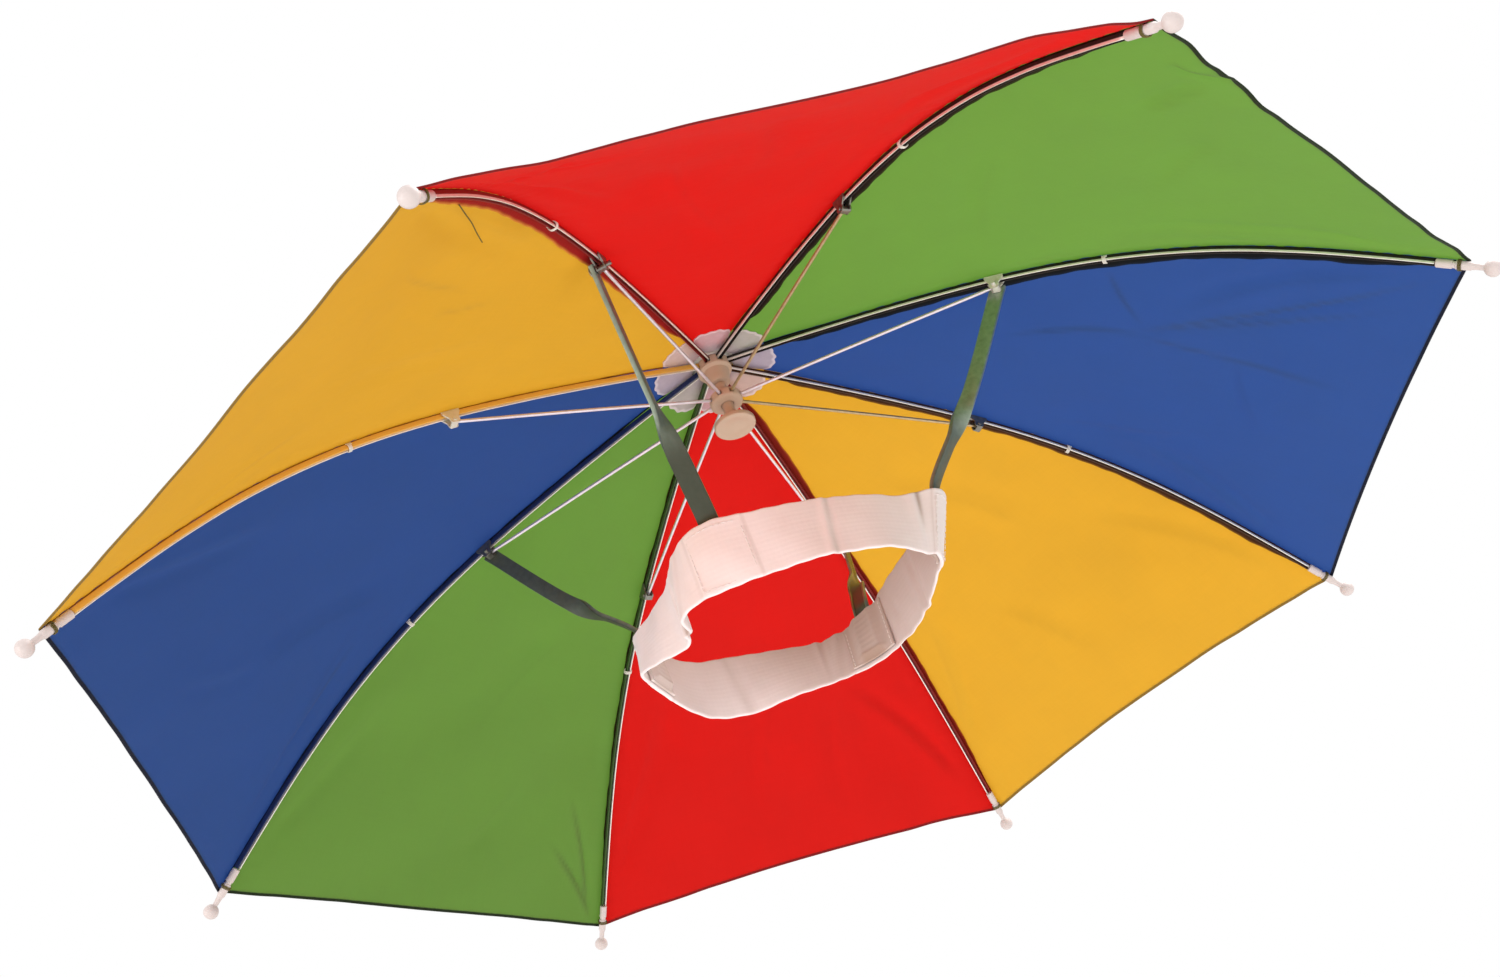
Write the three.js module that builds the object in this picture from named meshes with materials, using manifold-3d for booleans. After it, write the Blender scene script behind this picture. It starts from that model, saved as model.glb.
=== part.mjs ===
// An eight-panel umbrella hat, open, in millimetres.
// +Z runs up along the hat's axis. The origin is on that axis, halfway up the headband.
// Rib 1 lies over +X, and the ribs and panels count counter-clockwise seen from above.

import * as THREE from 'three';
import { mergeVertices } from 'three/addons/utils/BufferGeometryUtils.js';
import Module from 'manifold-3d';

const wasm = await Module();
wasm.setup();

// Driving dimensions
const clearance = 0.3;

const ribCount = 8;
const ribReach = 285;
const crownHeight = 133;
const tipPlaneDrop = 8.5;
const ribWidth = 2.1;
const ribDepth = 2.2;
const ribWall = 0.5;

const clothWall = 1;
const cornerInset = 6;
const canopyHoleRadius = 9.5;
const hemCut = 3;
const clothSag = 2.5;

const rosetteReach = 29;
const rosetteNotchReach = 23;
const rosetteWall = 0.8;
const rosetteRings = 2;

const tipBallRadius = 3.2;
const tipNeckRadius = 1.2;
const tipSleeveRadius = 1.7;
const tipSleeveStart = 20;
const tipSleeveEnd = 7;

const jointReach = 124;
const clipLength = 8;
const clipWall = 0.6;
const pinRadius = 0.9;
const stretcherRadius = 0.7;

const legWidth = 6.2;
const legFootWidth = 8.2;
const legDepth = 1.8;
const legWall = 0.7;
const legBow = 3;
const legHead = 2.6;
const legFootLift = 5;
const legTwistStart = 0.42;
const legTwistEnd = 0.62;
const legBowShare = 0.55;
const rivetRadius = 1.9;
const rivetHeight = 0.9;

const bandHeight = 29;
const bandReach = 57;
const bandWall = 1.6;
const widePocket = 24;
const narrowPocket = 14;
const pocketWall = 1;
const pocketEase = 1;

const notchRadius = 7.5;
const notchHeight = 7;
const notchSlotDepth = 2.4;
const notchTaperShare = 0.35;
const stemRadius = 2.6;
const neckHeight = 4.5;
const neckWall = 1;
const neckFlare = 0.6;
const runnerRadius = 7.2;
const runnerHeight = 5.5;
const runnerSlotDepth = 2.2;
const runnerChamfer = 1.2;
const runnerLip = 1.4;
const runnerDrop = 21;
const endDiscRadius = 9;
const endDiscHeight = 2.4;
const endDiscChamfer = 0.7;
const endDiscDrop = 36;
const capRadius = 15;
const capHeight = 5;

// The rib's line from the hat's axis to its tip ball, as shares of ribReach and crownHeight
const ribLine = [
  { reach: 0.00, rise: 1.000 },
  { reach: 0.11, rise: 0.950 },
  { reach: 0.21, rise: 0.900 },
  { reach: 0.31, rise: 0.845 },
  { reach: 0.45, rise: 0.755 },
  { reach: 0.585, rise: 0.640 },
  { reach: 0.71, rise: 0.495 },
  { reach: 0.81, rise: 0.345 },
  { reach: 0.90, rise: 0.187 },
  { reach: 1.00, rise: 0.000 },
];

// The slack headband, seen from above, counter-clockwise from the first leg.
// turn is in degrees, top and bottom are the edges' radii as shares of bandReach,
// and topLift and bottomLift are how far each edge strays, as shares of bandHeight.
const bandLoop = [
  { turn: -12, top: 0.98, bottom: 0.90, topLift: 0.00, bottomLift: 0.00 },
  { turn: 4, top: 0.89, bottom: 0.83, topLift: -0.07, bottomLift: 0.00 },
  { turn: 22, top: 0.82, bottom: 0.82, topLift: -0.07, bottomLift: 0.00 },
  { turn: 40, top: 0.81, bottom: 0.84, topLift: -0.07, bottomLift: 0.00 },
  { turn: 60, top: 0.90, bottom: 0.91, topLift: -0.12, bottomLift: 0.00 },
  { turn: 74, top: 1.00, bottom: 0.95, topLift: -0.15, bottomLift: 0.00 },
  { turn: 80, top: 1.08, bottom: 0.96, topLift: -0.10, bottomLift: 0.00 },
  { turn: 86, top: 1.18, bottom: 1.00, topLift: -0.05, bottomLift: 0.03 },
  { turn: 95, top: 1.19, bottom: 0.99, topLift: 0.00, bottomLift: 0.03 },
  { turn: 101, top: 1.11, bottom: 0.94, topLift: 0.00, bottomLift: 0.03 },
  { turn: 112, top: 0.98, bottom: 0.90, topLift: 0.00, bottomLift: 0.03 },
  { turn: 130, top: 0.90, bottom: 0.89, topLift: 0.00, bottomLift: 0.00 },
  { turn: 148, top: 0.92, bottom: 0.90, topLift: 0.00, bottomLift: 0.00 },
  { turn: 167, top: 1.03, bottom: 0.92, topLift: -0.07, bottomLift: 0.00 },
  { turn: 188, top: 1.09, bottom: 0.91, topLift: -0.10, bottomLift: 0.00 },
  { turn: 208, top: 1.11, bottom: 0.93, topLift: 0.00, bottomLift: 0.00 },
  { turn: 226, top: 1.12, bottom: 1.07, topLift: 0.00, bottomLift: -0.03 },
  { turn: 242, top: 1.16, bottom: 1.16, topLift: -0.07, bottomLift: -0.03 },
  { turn: 252, top: 1.22, bottom: 1.16, topLift: 0.00, bottomLift: 0.03 },
  { turn: 261, top: 1.24, bottom: 1.19, topLift: 0.07, bottomLift: 0.17 },
  { turn: 270, top: 1.24, bottom: 1.22, topLift: 0.07, bottomLift: 0.28 },
  { turn: 277, top: 1.17, bottom: 1.22, topLift: 0.00, bottomLift: 0.30 },
  { turn: 284, top: 1.03, bottom: 1.14, topLift: 0.00, bottomLift: 0.20 },
  { turn: 291, top: 0.96, bottom: 1.04, topLift: 0.00, bottomLift: 0.10 },
  { turn: 302, top: 0.89, bottom: 0.88, topLift: 0.00, bottomLift: 0.00 },
  { turn: 312, top: 0.90, bottom: 0.90, topLift: 0.00, bottomLift: 0.00 },
  { turn: 324, top: 0.95, bottom: 1.02, topLift: 0.00, bottomLift: 0.00 },
  { turn: 336, top: 1.00, bottom: 1.00, topLift: 0.00, bottomLift: 0.00 },
];

// Each leg hangs from one rib, and meets the band at a turn of its own, in degrees,
// in a pocket that is wide where the band is straight and narrow where it bends round the leg
const legs = [
  { rib: 0, footTurn: -12, pocketWidth: widePocket },
  { rib: 2, footTurn: 90.5, pocketWidth: narrowPocket },
  { rib: 4, footTurn: 168, pocketWidth: widePocket },
  { rib: 6, footTurn: 265.5, pocketWidth: narrowPocket },
];

// Fineness of the faceted surfaces
const panelRows = 12;
const panelColumns = 6;
const ribSteps = 12;
const legStepsAboveTwist = 3;
const legStepsInTwist = 8;
const legStepsBelowTwist = 6;
const bandColumns = 66;
const rosetteColumnsPerPanel = 6;
const ballSteps = 5;
const hubSides = 20;
const smallSides = 10;
const pinSides = 8;
const domeSteps = 4;

// Short steps for taking directions: a share of the rib's line, and of the way round the band
const ribStep = 0.002;
const loopStep = 0.002;

// Sizes that follow from the ones above. The canopy's edge is steeper than the line from crown to tip.
const ribTurn = 2 * Math.PI / ribCount;
const tipPlane = -tipPlaneDrop;
const cornerReach = ribReach - cornerInset;
const edgeSteepness = 1.7;
const roofSlope = Math.tan(ribTurn / 2) * Math.sin(Math.atan2(crownHeight, ribReach) * edgeSteepness);
const clothLift = (Math.max(tipSleeveRadius, ribDepth / 2) + clearance) * Math.hypot(1, roofSlope);
const rosetteLift = Math.max(0, ribDepth / 2 + rosetteWall + 3 * clearance - clothLift);
const canopyTop = tipPlane + crownHeight;

// Colours and finishes
const finishes = {
  red: { color: 0xd8261e, roughness: 0.6, metalness: 0 },
  green: { color: 0x5f9a3a, roughness: 0.6, metalness: 0 },
  blue: { color: 0x2e4a8c, roughness: 0.6, metalness: 0 },
  yellow: { color: 0xe8ac2c, roughness: 0.6, metalness: 0 },
  steel: { color: 0xc9c7c4, roughness: 0.35, metalness: 0.8 },
  darkSteel: { color: 0x7d857c, roughness: 0.35, metalness: 0.8 },
  elastic: { color: 0xefe6e2, roughness: 0.9, metalness: 0 },
  whiteCloth: { color: 0xe9e4e2, roughness: 0.8, metalness: 0 },
  whitePlastic: { color: 0xf2efea, roughness: 0.45, metalness: 0 },
  tanPlastic: { color: 0xcfb29c, roughness: 0.45, metalness: 0 },
};
const panelColours = ['red', 'green', 'blue', 'yellow'];

function mesh(name, geometry, finish) {
  const made = new THREE.Mesh(geometry, new THREE.MeshStandardMaterial(finishes[finish]));
  made.name = name;
  return made;
}

// Closed bodies from points and triangles

function signedVolume(points, indices) {
  let sum = 0;
  for (let i = 0; i < indices.length; i += 3) {
    const [a, b, c] = [0, 1, 2].map((corner) => points[indices[i + corner]]);
    sum += a.dot(new THREE.Vector3().crossVectors(b, c));
  }
  return sum / 6;
}

function closedBody(points, indices) {
  const outward = signedVolume(points, indices) > 0 ? indices : indices.slice().reverse();
  const geometry = new THREE.BufferGeometry().setFromPoints(points);
  geometry.setIndex(outward);
  return geometry;
}

// A wall between two grids of points, which may close round on itself along its columns
function wallBetween(inner, outer, closesRound) {
  const rows = inner.length;
  const columns = inner[0].length;
  const steps = closesRound ? columns : columns - 1;
  const points = [...inner.flat(), ...outer.flat()];
  const indices = [];
  const at = (layer, row, column) => (layer * rows + row) * columns + (column % columns);
  const quad = (a, b, c, d) => indices.push(a, b, c, a, c, d);
  for (let row = 0; row < rows - 1; row += 1) {
    for (let column = 0; column < steps; column += 1) {
      quad(at(0, row, column), at(0, row, column + 1), at(0, row + 1, column + 1), at(0, row + 1, column));
      quad(at(1, row, column), at(1, row + 1, column), at(1, row + 1, column + 1), at(1, row, column + 1));
    }
  }
  const last = rows - 1;
  for (let column = 0; column < steps; column += 1) {
    quad(at(0, 0, column), at(1, 0, column), at(1, 0, column + 1), at(0, 0, column + 1));
    quad(at(0, last, column), at(0, last, column + 1), at(1, last, column + 1), at(1, last, column));
  }
  if (!closesRound) {
    for (let row = 0; row < last; row += 1) {
      quad(at(0, row, 0), at(0, row + 1, 0), at(1, row + 1, 0), at(1, row, 0));
      quad(at(0, row, steps), at(1, row, steps), at(1, row + 1, steps), at(0, row + 1, steps));
    }
  }
  return closedBody(points, indices);
}

// A bar whose section is set on a row of stations, each with a place, an across and a deep direction.
// Each four-sided face is cut along its shorter diagonal, so that a twisted wall keeps its thickness.
function sweptBar(stations, sectionAt) {
  const outlines = stations.map((station) => sectionAt(station));
  const sides = outlines[0].length;
  const points = stations.flatMap((station, i) => outlines[i].map((corner) => (
    station.place.clone().addScaledVector(station.across, corner.x).addScaledVector(station.deep, corner.y)
  )));
  const indices = [];
  for (let i = 0; i < stations.length - 1; i += 1) {
    for (let side = 0; side < sides; side += 1) {
      const next = (side + 1) % sides;
      const [a, b] = [i * sides + side, i * sides + next];
      const [c, d] = [b + sides, a + sides];
      if (points[a].distanceTo(points[c]) < points[b].distanceTo(points[d])) indices.push(a, b, c, a, c, d);
      else indices.push(a, b, d, b, c, d);
    }
  }
  const end = (stations.length - 1) * sides;
  for (const [a, b, c] of THREE.ShapeUtils.triangulateShape(outlines[0], [])) {
    indices.push(b, a, c, end + a, end + b, end + c);
  }
  return closedBody(points, indices);
}

// A channel's section: a web with two walls that stand towards +y
function channelSection(width, depth, wall) {
  const half = width / 2;
  const corners = [
    [-half, -depth / 2],
    [half, -depth / 2],
    [half, depth / 2],
    [half - wall, depth / 2],
    [half - wall, -depth / 2 + wall],
    [-half + wall, -depth / 2 + wall],
    [-half + wall, depth / 2],
    [-half, depth / 2],
  ];
  return corners.map(([x, y]) => new THREE.Vector2(x, y));
}

function toSolid(geometry, matrix = new THREE.Matrix4()) {
  const moved = geometry.clone().applyMatrix4(matrix);
  moved.deleteAttribute('normal');
  moved.deleteAttribute('uv');
  const merged = mergeVertices(moved);
  return new wasm.Manifold(new wasm.Mesh({
    numProp: 3,
    vertProperties: new Float32Array(merged.attributes.position.array),
    triVerts: new Uint32Array(merged.index.array),
  }));
}

function fromSolid(solid) {
  const made = solid.getMesh();
  const geometry = new THREE.BufferGeometry();
  geometry.setAttribute('position', new THREE.BufferAttribute(made.vertProperties, 3));
  geometry.setIndex(new THREE.BufferAttribute(made.triVerts, 1));
  return geometry;
}

function lathe(profile, sides) {
  return new THREE.LatheGeometry(profile.map(([r, z]) => new THREE.Vector2(r, z)), sides).rotateX(Math.PI / 2);
}

// The rib's line

const ribCurve = new THREE.CatmullRomCurve3(
  ribLine.map(({ reach, rise }) => new THREE.Vector3(reach * ribReach, 0, tipPlane + rise * crownHeight)),
  false,
  'centripetal',
);
ribCurve.arcLengthDivisions = 400;
const ribLength = ribCurve.getLength();

function shareAtReach(reach) {
  let [low, high] = [0, 1];
  for (let i = 0; i < 40; i += 1) {
    const middle = (low + high) / 2;
    if (ribCurve.getPointAt(middle).x < reach) low = middle;
    else high = middle;
  }
  return (low + high) / 2;
}

// The rib's place, and the directions along it and square to it, in the plane of rib 1
function ribStation(share) {
  const place = ribCurve.getPointAt(share);
  const along = ribCurve.getTangentAt(share);
  const outward = new THREE.Vector3(-along.z, 0, along.x);
  return { place, along, outward };
}

// The canopy's cloth

const holeShare = shareAtReach(canopyHoleRadius);
const cornerShare = shareAtReach(cornerReach);

function ridgePoint(share, turn) {
  const { place, outward } = ribStation(share);
  const fade = THREE.MathUtils.smoothstep(place.x, rosetteReach, 2 * rosetteReach);
  const lift = clothLift + rosetteLift * (1 - fade);
  return place.addScaledVector(outward, lift).applyAxisAngle(new THREE.Vector3(0, 0, 1), turn);
}

// The cloth's inner face, from across = 0 at rib 1 to 1 at rib 2, and share along the rib's line
function clothPoint(share, across) {
  const left = ridgePoint(share, 0);
  const right = ridgePoint(share, ribTurn);
  const hollow = 4 * across * (1 - across) * Math.sin(Math.PI * share / cornerShare) * clothSag;
  const middle = left.lerp(right, across);
  const inward = new THREE.Vector3(middle.x, middle.y, crownHeight).normalize();
  return middle.addScaledVector(inward, -hollow);
}

function clothNormal(share, across) {
  const alongRib = clothPoint(share + ribStep, across).sub(clothPoint(share - ribStep, across));
  const acrossPanel = clothPoint(share, across + ribStep).sub(clothPoint(share, across - ribStep));
  return new THREE.Vector3().crossVectors(alongRib, acrossPanel).normalize();
}

function clothAt(share, across, height) {
  return clothPoint(share, across).addScaledVector(clothNormal(share, across), height);
}

function acrossWithSeam(share, across) {
  const span = ridgePoint(share, 0).distanceTo(ridgePoint(share, ribTurn));
  const edge = clearance / 2 / span;
  return edge + across * (1 - 2 * edge);
}

function panelGeometry() {
  const faceAt = (height) => Array.from({ length: panelRows + 1 }, (_, row) => (
    Array.from({ length: panelColumns + 1 }, (__, column) => {
      const across = column / panelColumns;
      const hemShare = cornerShare - 4 * across * (1 - across) * hemCut / ribLength;
      const share = THREE.MathUtils.lerp(holeShare, hemShare, row / panelRows);
      return clothAt(share, acrossWithSeam(share, across), height);
    })
  ));
  return wallBetween(faceAt(0), faceAt(clothWall), false);
}

// The scalloped disc under the canopy's middle, one lobe to each panel. Its gap to the cloth is
// measured upright, and is a little more than the clearance because the cloth slopes.
function rosetteGeometry() {
  const lobeFullness = 0.6;
  const slopeAllowance = 1.2;
  const under = clearance * slopeAllowance;
  const edgeShare = (across) => {
    const lobe = Math.sin(Math.PI * across) ** lobeFullness;
    return shareAtReach(THREE.MathUtils.lerp(rosetteNotchReach, rosetteReach, lobe));
  };
  const faceAt = (height) => Array.from({ length: rosetteRings + 1 }, (_, ring) => (
    Array.from({ length: ribCount * rosetteColumnsPerPanel }, (__, column) => {
      const panel = Math.floor(column / rosetteColumnsPerPanel);
      const across = (column % rosetteColumnsPerPanel) / rosetteColumnsPerPanel;
      const share = THREE.MathUtils.lerp(holeShare, edgeShare(across), ring / rosetteRings);
      const place = clothPoint(share, across);
      place.z -= height;
      return place.applyAxisAngle(new THREE.Vector3(0, 0, 1), panel * ribTurn);
    })
  ));
  return wallBetween(faceAt(under + rosetteWall), faceAt(under), true);
}

// The frame's metal

function ribGeometry() {
  const startShare = shareAtReach(notchRadius - notchSlotDepth + clearance);
  const endShare = 1 - (tipSleeveStart + clearance) / ribLength;
  const stations = Array.from({ length: ribSteps + 1 }, (_, i) => {
    const { place, outward } = ribStation(THREE.MathUtils.lerp(startShare, endShare, i / ribSteps));
    return { place, across: new THREE.Vector3(0, 1, 0), deep: outward.negate() };
  });
  return sweptBar(stations, () => channelSection(ribWidth, ribDepth, ribWall));
}

function tipGeometry() {
  const neckTurn = Math.asin(tipNeckRadius / tipBallRadius) - Math.PI / 2;
  const ball = Array.from({ length: ballSteps }, (_, i) => {
    const turn = THREE.MathUtils.lerp(neckTurn, Math.PI / 2, i / ballSteps);
    return [tipBallRadius * Math.cos(turn), tipBallRadius * Math.sin(turn)];
  });
  const profile = [
    [0, -tipSleeveStart],
    [tipSleeveRadius, -tipSleeveStart],
    [tipSleeveRadius, -tipSleeveEnd],
    [tipNeckRadius, -tipSleeveEnd + tipSleeveRadius - tipNeckRadius],
    ...ball,
    [0, tipBallRadius],
  ];
  const { place, along } = ribStation(1);
  const turn = new THREE.Quaternion().setFromUnitVectors(new THREE.Vector3(0, 0, 1), along);
  return lathe(profile, smallSides).applyQuaternion(turn).translate(...place);
}

// The joint halfway along a rib: where its pin is, and how the clip stands round it
const joint = (() => {
  const { place, along, outward } = ribStation(shareAtReach(jointReach));
  const pinDrop = Math.max(legWidth, ribDepth + 2 * Math.max(pinRadius, stretcherRadius)) / 2 + clearance;
  const pin = place.clone().addScaledVector(outward, -pinDrop);
  return { place, along, outward, pin, pinDrop };
})();
const clipInnerWidth = ribWidth + 2 * clearance;
const clipOuterWidth = clipInnerWidth + 2 * clipWall;
const legSide = clipOuterWidth / 2 + clearance + legDepth / 2;

function pinSolid(radius, reach) {
  const turned = new THREE.CylinderGeometry(radius, radius, reach, pinSides);
  return toSolid(turned, new THREE.Matrix4().makeTranslation(...joint.pin));
}

function clipGeometry(pinReach) {
  const depth = joint.pinDrop + stretcherRadius + clearance + clipWall + ribDepth / 2;
  const section = channelSection(clipOuterWidth, depth, clipWall);
  const middle = joint.place.clone().addScaledVector(joint.outward, ribDepth / 2 - depth / 2);
  const stations = [-clipLength / 2, clipLength / 2].map((way) => ({
    place: middle.clone().addScaledVector(joint.along, way),
    across: new THREE.Vector3(0, 1, 0),
    deep: joint.outward,
  }));
  const clip = toSolid(sweptBar(stations, () => section));
  const mouthLength = clipLength / 2;
  const mouth = new THREE.Matrix4().makeBasis(joint.along, new THREE.Vector3(0, 1, 0), joint.outward);
  mouth.setPosition(joint.pin.clone()
    .addScaledVector(joint.along, -pinRadius - mouthLength / 2)
    .addScaledVector(joint.outward, stretcherRadius + clearance - depth / 2));
  const cut = toSolid(new THREE.BoxGeometry(mouthLength, clipInnerWidth, depth), mouth);
  return fromSolid(clip.subtract(cut).add(pinSolid(pinRadius, pinReach)));
}

function stretcherGeometry() {
  const inner = new THREE.Vector3(runnerRadius - runnerSlotDepth + clearance, 0, runnerMiddle);
  const way = joint.pin.clone().sub(inner).normalize();
  const outer = joint.pin.clone().addScaledVector(way, -pinRadius - clearance);
  const line = new THREE.LineCurve3(inner, outer);
  const round = new THREE.Shape().absarc(0, 0, stretcherRadius, 0, 2 * Math.PI);
  return new THREE.ExtrudeGeometry(round, { extrudePath: line, steps: 1, curveSegments: 8 });
}

// The headband

function bandEdge(radiusName, liftName, height) {
  const points = bandLoop.map((row) => {
    const turn = THREE.MathUtils.degToRad(row.turn);
    const radius = row[radiusName] * bandReach;
    const z = height + row[liftName] * bandHeight;
    return new THREE.Vector3(radius * Math.cos(turn), radius * Math.sin(turn), z);
  });
  return new THREE.CatmullRomCurve3(points, true, 'centripetal');
}
const bandTop = bandEdge('top', 'topLift', bandHeight / 2);
const bandBottom = bandEdge('bottom', 'bottomLift', -bandHeight / 2);

// A place on the band: loop goes once round from 0 to 1, rise goes from its lower edge at 0 to its
// upper at 1, and offset is measured outwards from the middle of the band's wall
function bandPoint(loop, rise, offset) {
  const turned = ((loop % 1) + 1) % 1;
  const at = (where) => {
    const wrapped = ((where % 1) + 1) % 1;
    return bandBottom.getPoint(wrapped).lerp(bandTop.getPoint(wrapped), rise);
  };
  const along = at(turned + loopStep).sub(at(turned - loopStep));
  const up = bandTop.getPoint(turned).sub(bandBottom.getPoint(turned));
  const outward = new THREE.Vector3().crossVectors(along, up).normalize();
  return at(turned).addScaledVector(outward, offset);
}

function loopAtTurn(degrees) {
  const turns = bandLoop.map((row) => row.turn);
  const next = turns.findIndex((turn) => turn > degrees);
  const before = next - 1;
  return (before + (degrees - turns[before]) / (turns[next] - turns[before])) / turns.length;
}

// Where on the loop a walk of some millimetres from another place on it ends
function loopAfter(start, distance) {
  const paces = 8;
  let loop = start;
  for (let i = 0; i < paces; i += 1) {
    const pace = bandPoint(loop + loopStep, 0.5, 0).distanceTo(bandPoint(loop - loopStep, 0.5, 0));
    loop += distance / paces * 2 * loopStep / pace;
  }
  return loop;
}

function bandGeometry() {
  const rises = [0, 0.5, 1];
  const faceAt = (offset) => rises.map((rise) => (
    Array.from({ length: bandColumns }, (_, column) => bandPoint(column / bandColumns, rise, offset))
  ));
  return wallBetween(faceAt(-bandWall / 2), faceAt(bandWall / 2), true);
}

const pocketDepth = legDepth + 2 * clearance + pocketEase;
const pocketSeamShare = 0.7;
const pocketRises = [0.04, 0.5, 0.9];

// A patch sewn inside the band: close to it along both sides, and standing off it round the leg's foot
function pocketGeometry({ footTurn, pocketWidth }) {
  const middle = loopAtTurn(footTurn);
  const half = pocketWidth / 2;
  const footEdge = legFootWidth / 2 + 2 * clearance;
  const seam = THREE.MathUtils.lerp(footEdge, half, pocketSeamShare);
  const halfColumns = [
    { reach: 0, bulge: 1 },
    { reach: footEdge / 2, bulge: 1 },
    { reach: footEdge, bulge: 1 },
    { reach: seam, bulge: 0 },
    { reach: half, bulge: 0 },
  ];
  const mirrored = halfColumns.slice(1).reverse().map(({ reach, bulge }) => ({ reach: -reach, bulge }));
  const columns = [...mirrored, ...halfColumns];
  const faceAt = (extra) => pocketRises.map((rise) => columns.map(({ reach, bulge }) => {
    const standOff = bandWall / 2 + clearance + pocketDepth * bulge + extra;
    return bandPoint(loopAfter(middle, reach), rise, -standOff);
  }));
  return wallBetween(faceAt(0), faceAt(pocketWall), false);
}

// The legs

// Where the leg's sections stand, as shares of its length: close together where it twists
function stepsBetween(start, end, count) {
  return Array.from({ length: count }, (_, i) => THREE.MathUtils.lerp(start, end, i / count));
}
const legShares = [
  ...stepsBetween(0, legTwistStart, legStepsAboveTwist),
  ...stepsBetween(legTwistStart, legTwistEnd, legStepsInTwist),
  ...stepsBetween(legTwistEnd, 1, legStepsBelowTwist),
  1,
];

// Which side of its rib a leg hangs on, 1 or -1: the side that its foot is on
function sideOfRib({ rib, footTurn }) {
  return Math.sign(footTurn - THREE.MathUtils.radToDeg(rib * ribTurn)) || 1;
}

function legGeometry({ rib, footTurn }) {
  const turn = rib * ribTurn;
  const axis = new THREE.Vector3(0, 0, 1);
  const outOfRib = new THREE.Vector3(0, sideOfRib({ rib, footTurn }), 0).applyAxisAngle(axis, turn);
  const sideways = outOfRib.clone().negate();
  const pin = joint.pin.clone().applyAxisAngle(axis, turn).addScaledVector(outOfRib, legSide);
  const loop = loopAtTurn(footTurn);
  const footOffset = -(bandWall / 2 + 3 * clearance + legDepth / 2);
  const footTop = bandPoint(loop, 1 + 2 * legDepth / bandHeight, footOffset);
  const ankle = bandPoint(loop, 1 - legDepth / bandHeight, footOffset);
  const footEnd = bandPoint(loop, legFootLift / bandHeight, footOffset);
  const straight = footTop.clone().sub(pin);
  const head = pin.clone().addScaledVector(straight.clone().normalize(), -legHead);
  const bowWay = new THREE.Vector3(Math.cos(turn), Math.sin(turn), 0);
  const belly = pin.clone().addScaledVector(straight, legBowShare).addScaledVector(bowWay, legBow);
  const curve = new THREE.CatmullRomCurve3([head, pin, belly, footTop, ankle, footEnd], false, 'centripetal');
  const bandWayAt = (rise) => (
    bandPoint(loop - 2 * loopStep, rise, footOffset).sub(bandPoint(loop + 2 * loopStep, rise, footOffset))
  );
  const stations = legShares.map((share) => {
    const along = curve.getTangentAt(share);
    const place = curve.getPointAt(share);
    const bandWay = bandWayAt(THREE.MathUtils.clamp(place.z / bandHeight + 0.5, 0, 1));
    const upright = new THREE.Vector3().crossVectors(along, sideways).normalize();
    const flat = new THREE.Vector3().crossVectors(upright, along).normalize();
    const twist = THREE.MathUtils.smoothstep(share, legTwistStart, legTwistEnd);
    const fullTurn = Math.atan2(bandWay.dot(flat), bandWay.dot(upright));
    const across = upright.clone().applyAxisAngle(along, fullTurn * twist * turnSign(along, upright, flat));
    const deep = new THREE.Vector3().crossVectors(along, across).normalize();
    const width = THREE.MathUtils.lerp(legWidth, legFootWidth, twist);
    return { place, across, deep, width };
  });
  const bar = toSolid(sweptBar(stations, ({ width }) => channelSection(width, legDepth, legWall)));
  const hole = pinSolid(pinRadius + clearance, 4 * legSide).rotate(0, 0, THREE.MathUtils.radToDeg(turn));
  return fromSolid(bar.subtract(hole));
}

// Whether a right-handed turn about along takes upright towards flat
function turnSign(along, upright, flat) {
  return new THREE.Vector3().crossVectors(along, upright).dot(flat) > 0 ? 1 : -1;
}

function rivetGeometry(side) {
  const shoulder = { reach: 0.8, height: 0.7 };
  const profile = [
    [0, 0],
    [rivetRadius, 0],
    [rivetRadius * shoulder.reach, rivetHeight * shoulder.height],
    [0, rivetHeight],
  ];
  const start = legSide + legDepth / 2 + clearance;
  return lathe(profile, smallSides).rotateX(-side * Math.PI / 2).translate(joint.pin.x, side * start, joint.pin.z);
}

// The hub

const notchTop = ribStation(shareAtReach(notchRadius)).place.z + ribDepth / 2 + clearance;
const notchBottom = notchTop - notchHeight;
const runnerMiddle = canopyTop - runnerDrop;
const discTop = canopyTop - endDiscDrop + endDiscHeight;

// One box for each rib, from innerRadius to just past outerRadius, to cut slots with
function slotSolids(width, innerRadius, outerRadius, height, middle) {
  const overrun = 1;
  const length = outerRadius + overrun - innerRadius;
  const slots = Array.from({ length: ribCount }, (_, i) => {
    const place = new THREE.Matrix4().makeRotationZ(i * ribTurn);
    place.multiply(new THREE.Matrix4().makeTranslation(innerRadius + length / 2, 0, middle));
    return toSolid(new THREE.BoxGeometry(length, width, height), place);
  });
  return slots.reduce((all, slot) => all.add(slot));
}

function notchGeometry() {
  const neckBottom = notchBottom - neckHeight;
  const body = toSolid(lathe([
    [0, neckBottom],
    [stemRadius + neckWall, neckBottom],
    [stemRadius + neckWall + neckFlare, notchBottom - neckHeight / 2],
    [notchRadius, notchBottom + notchHeight * notchTaperShare],
    [notchRadius, notchTop],
    [0, notchTop],
  ], hubSides));
  const width = ribWidth + 2 * clearance;
  const slots = slotSolids(width, notchRadius - notchSlotDepth, notchRadius, 3 * ribDepth, notchTop);
  return fromSolid(body.subtract(slots));
}

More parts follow.
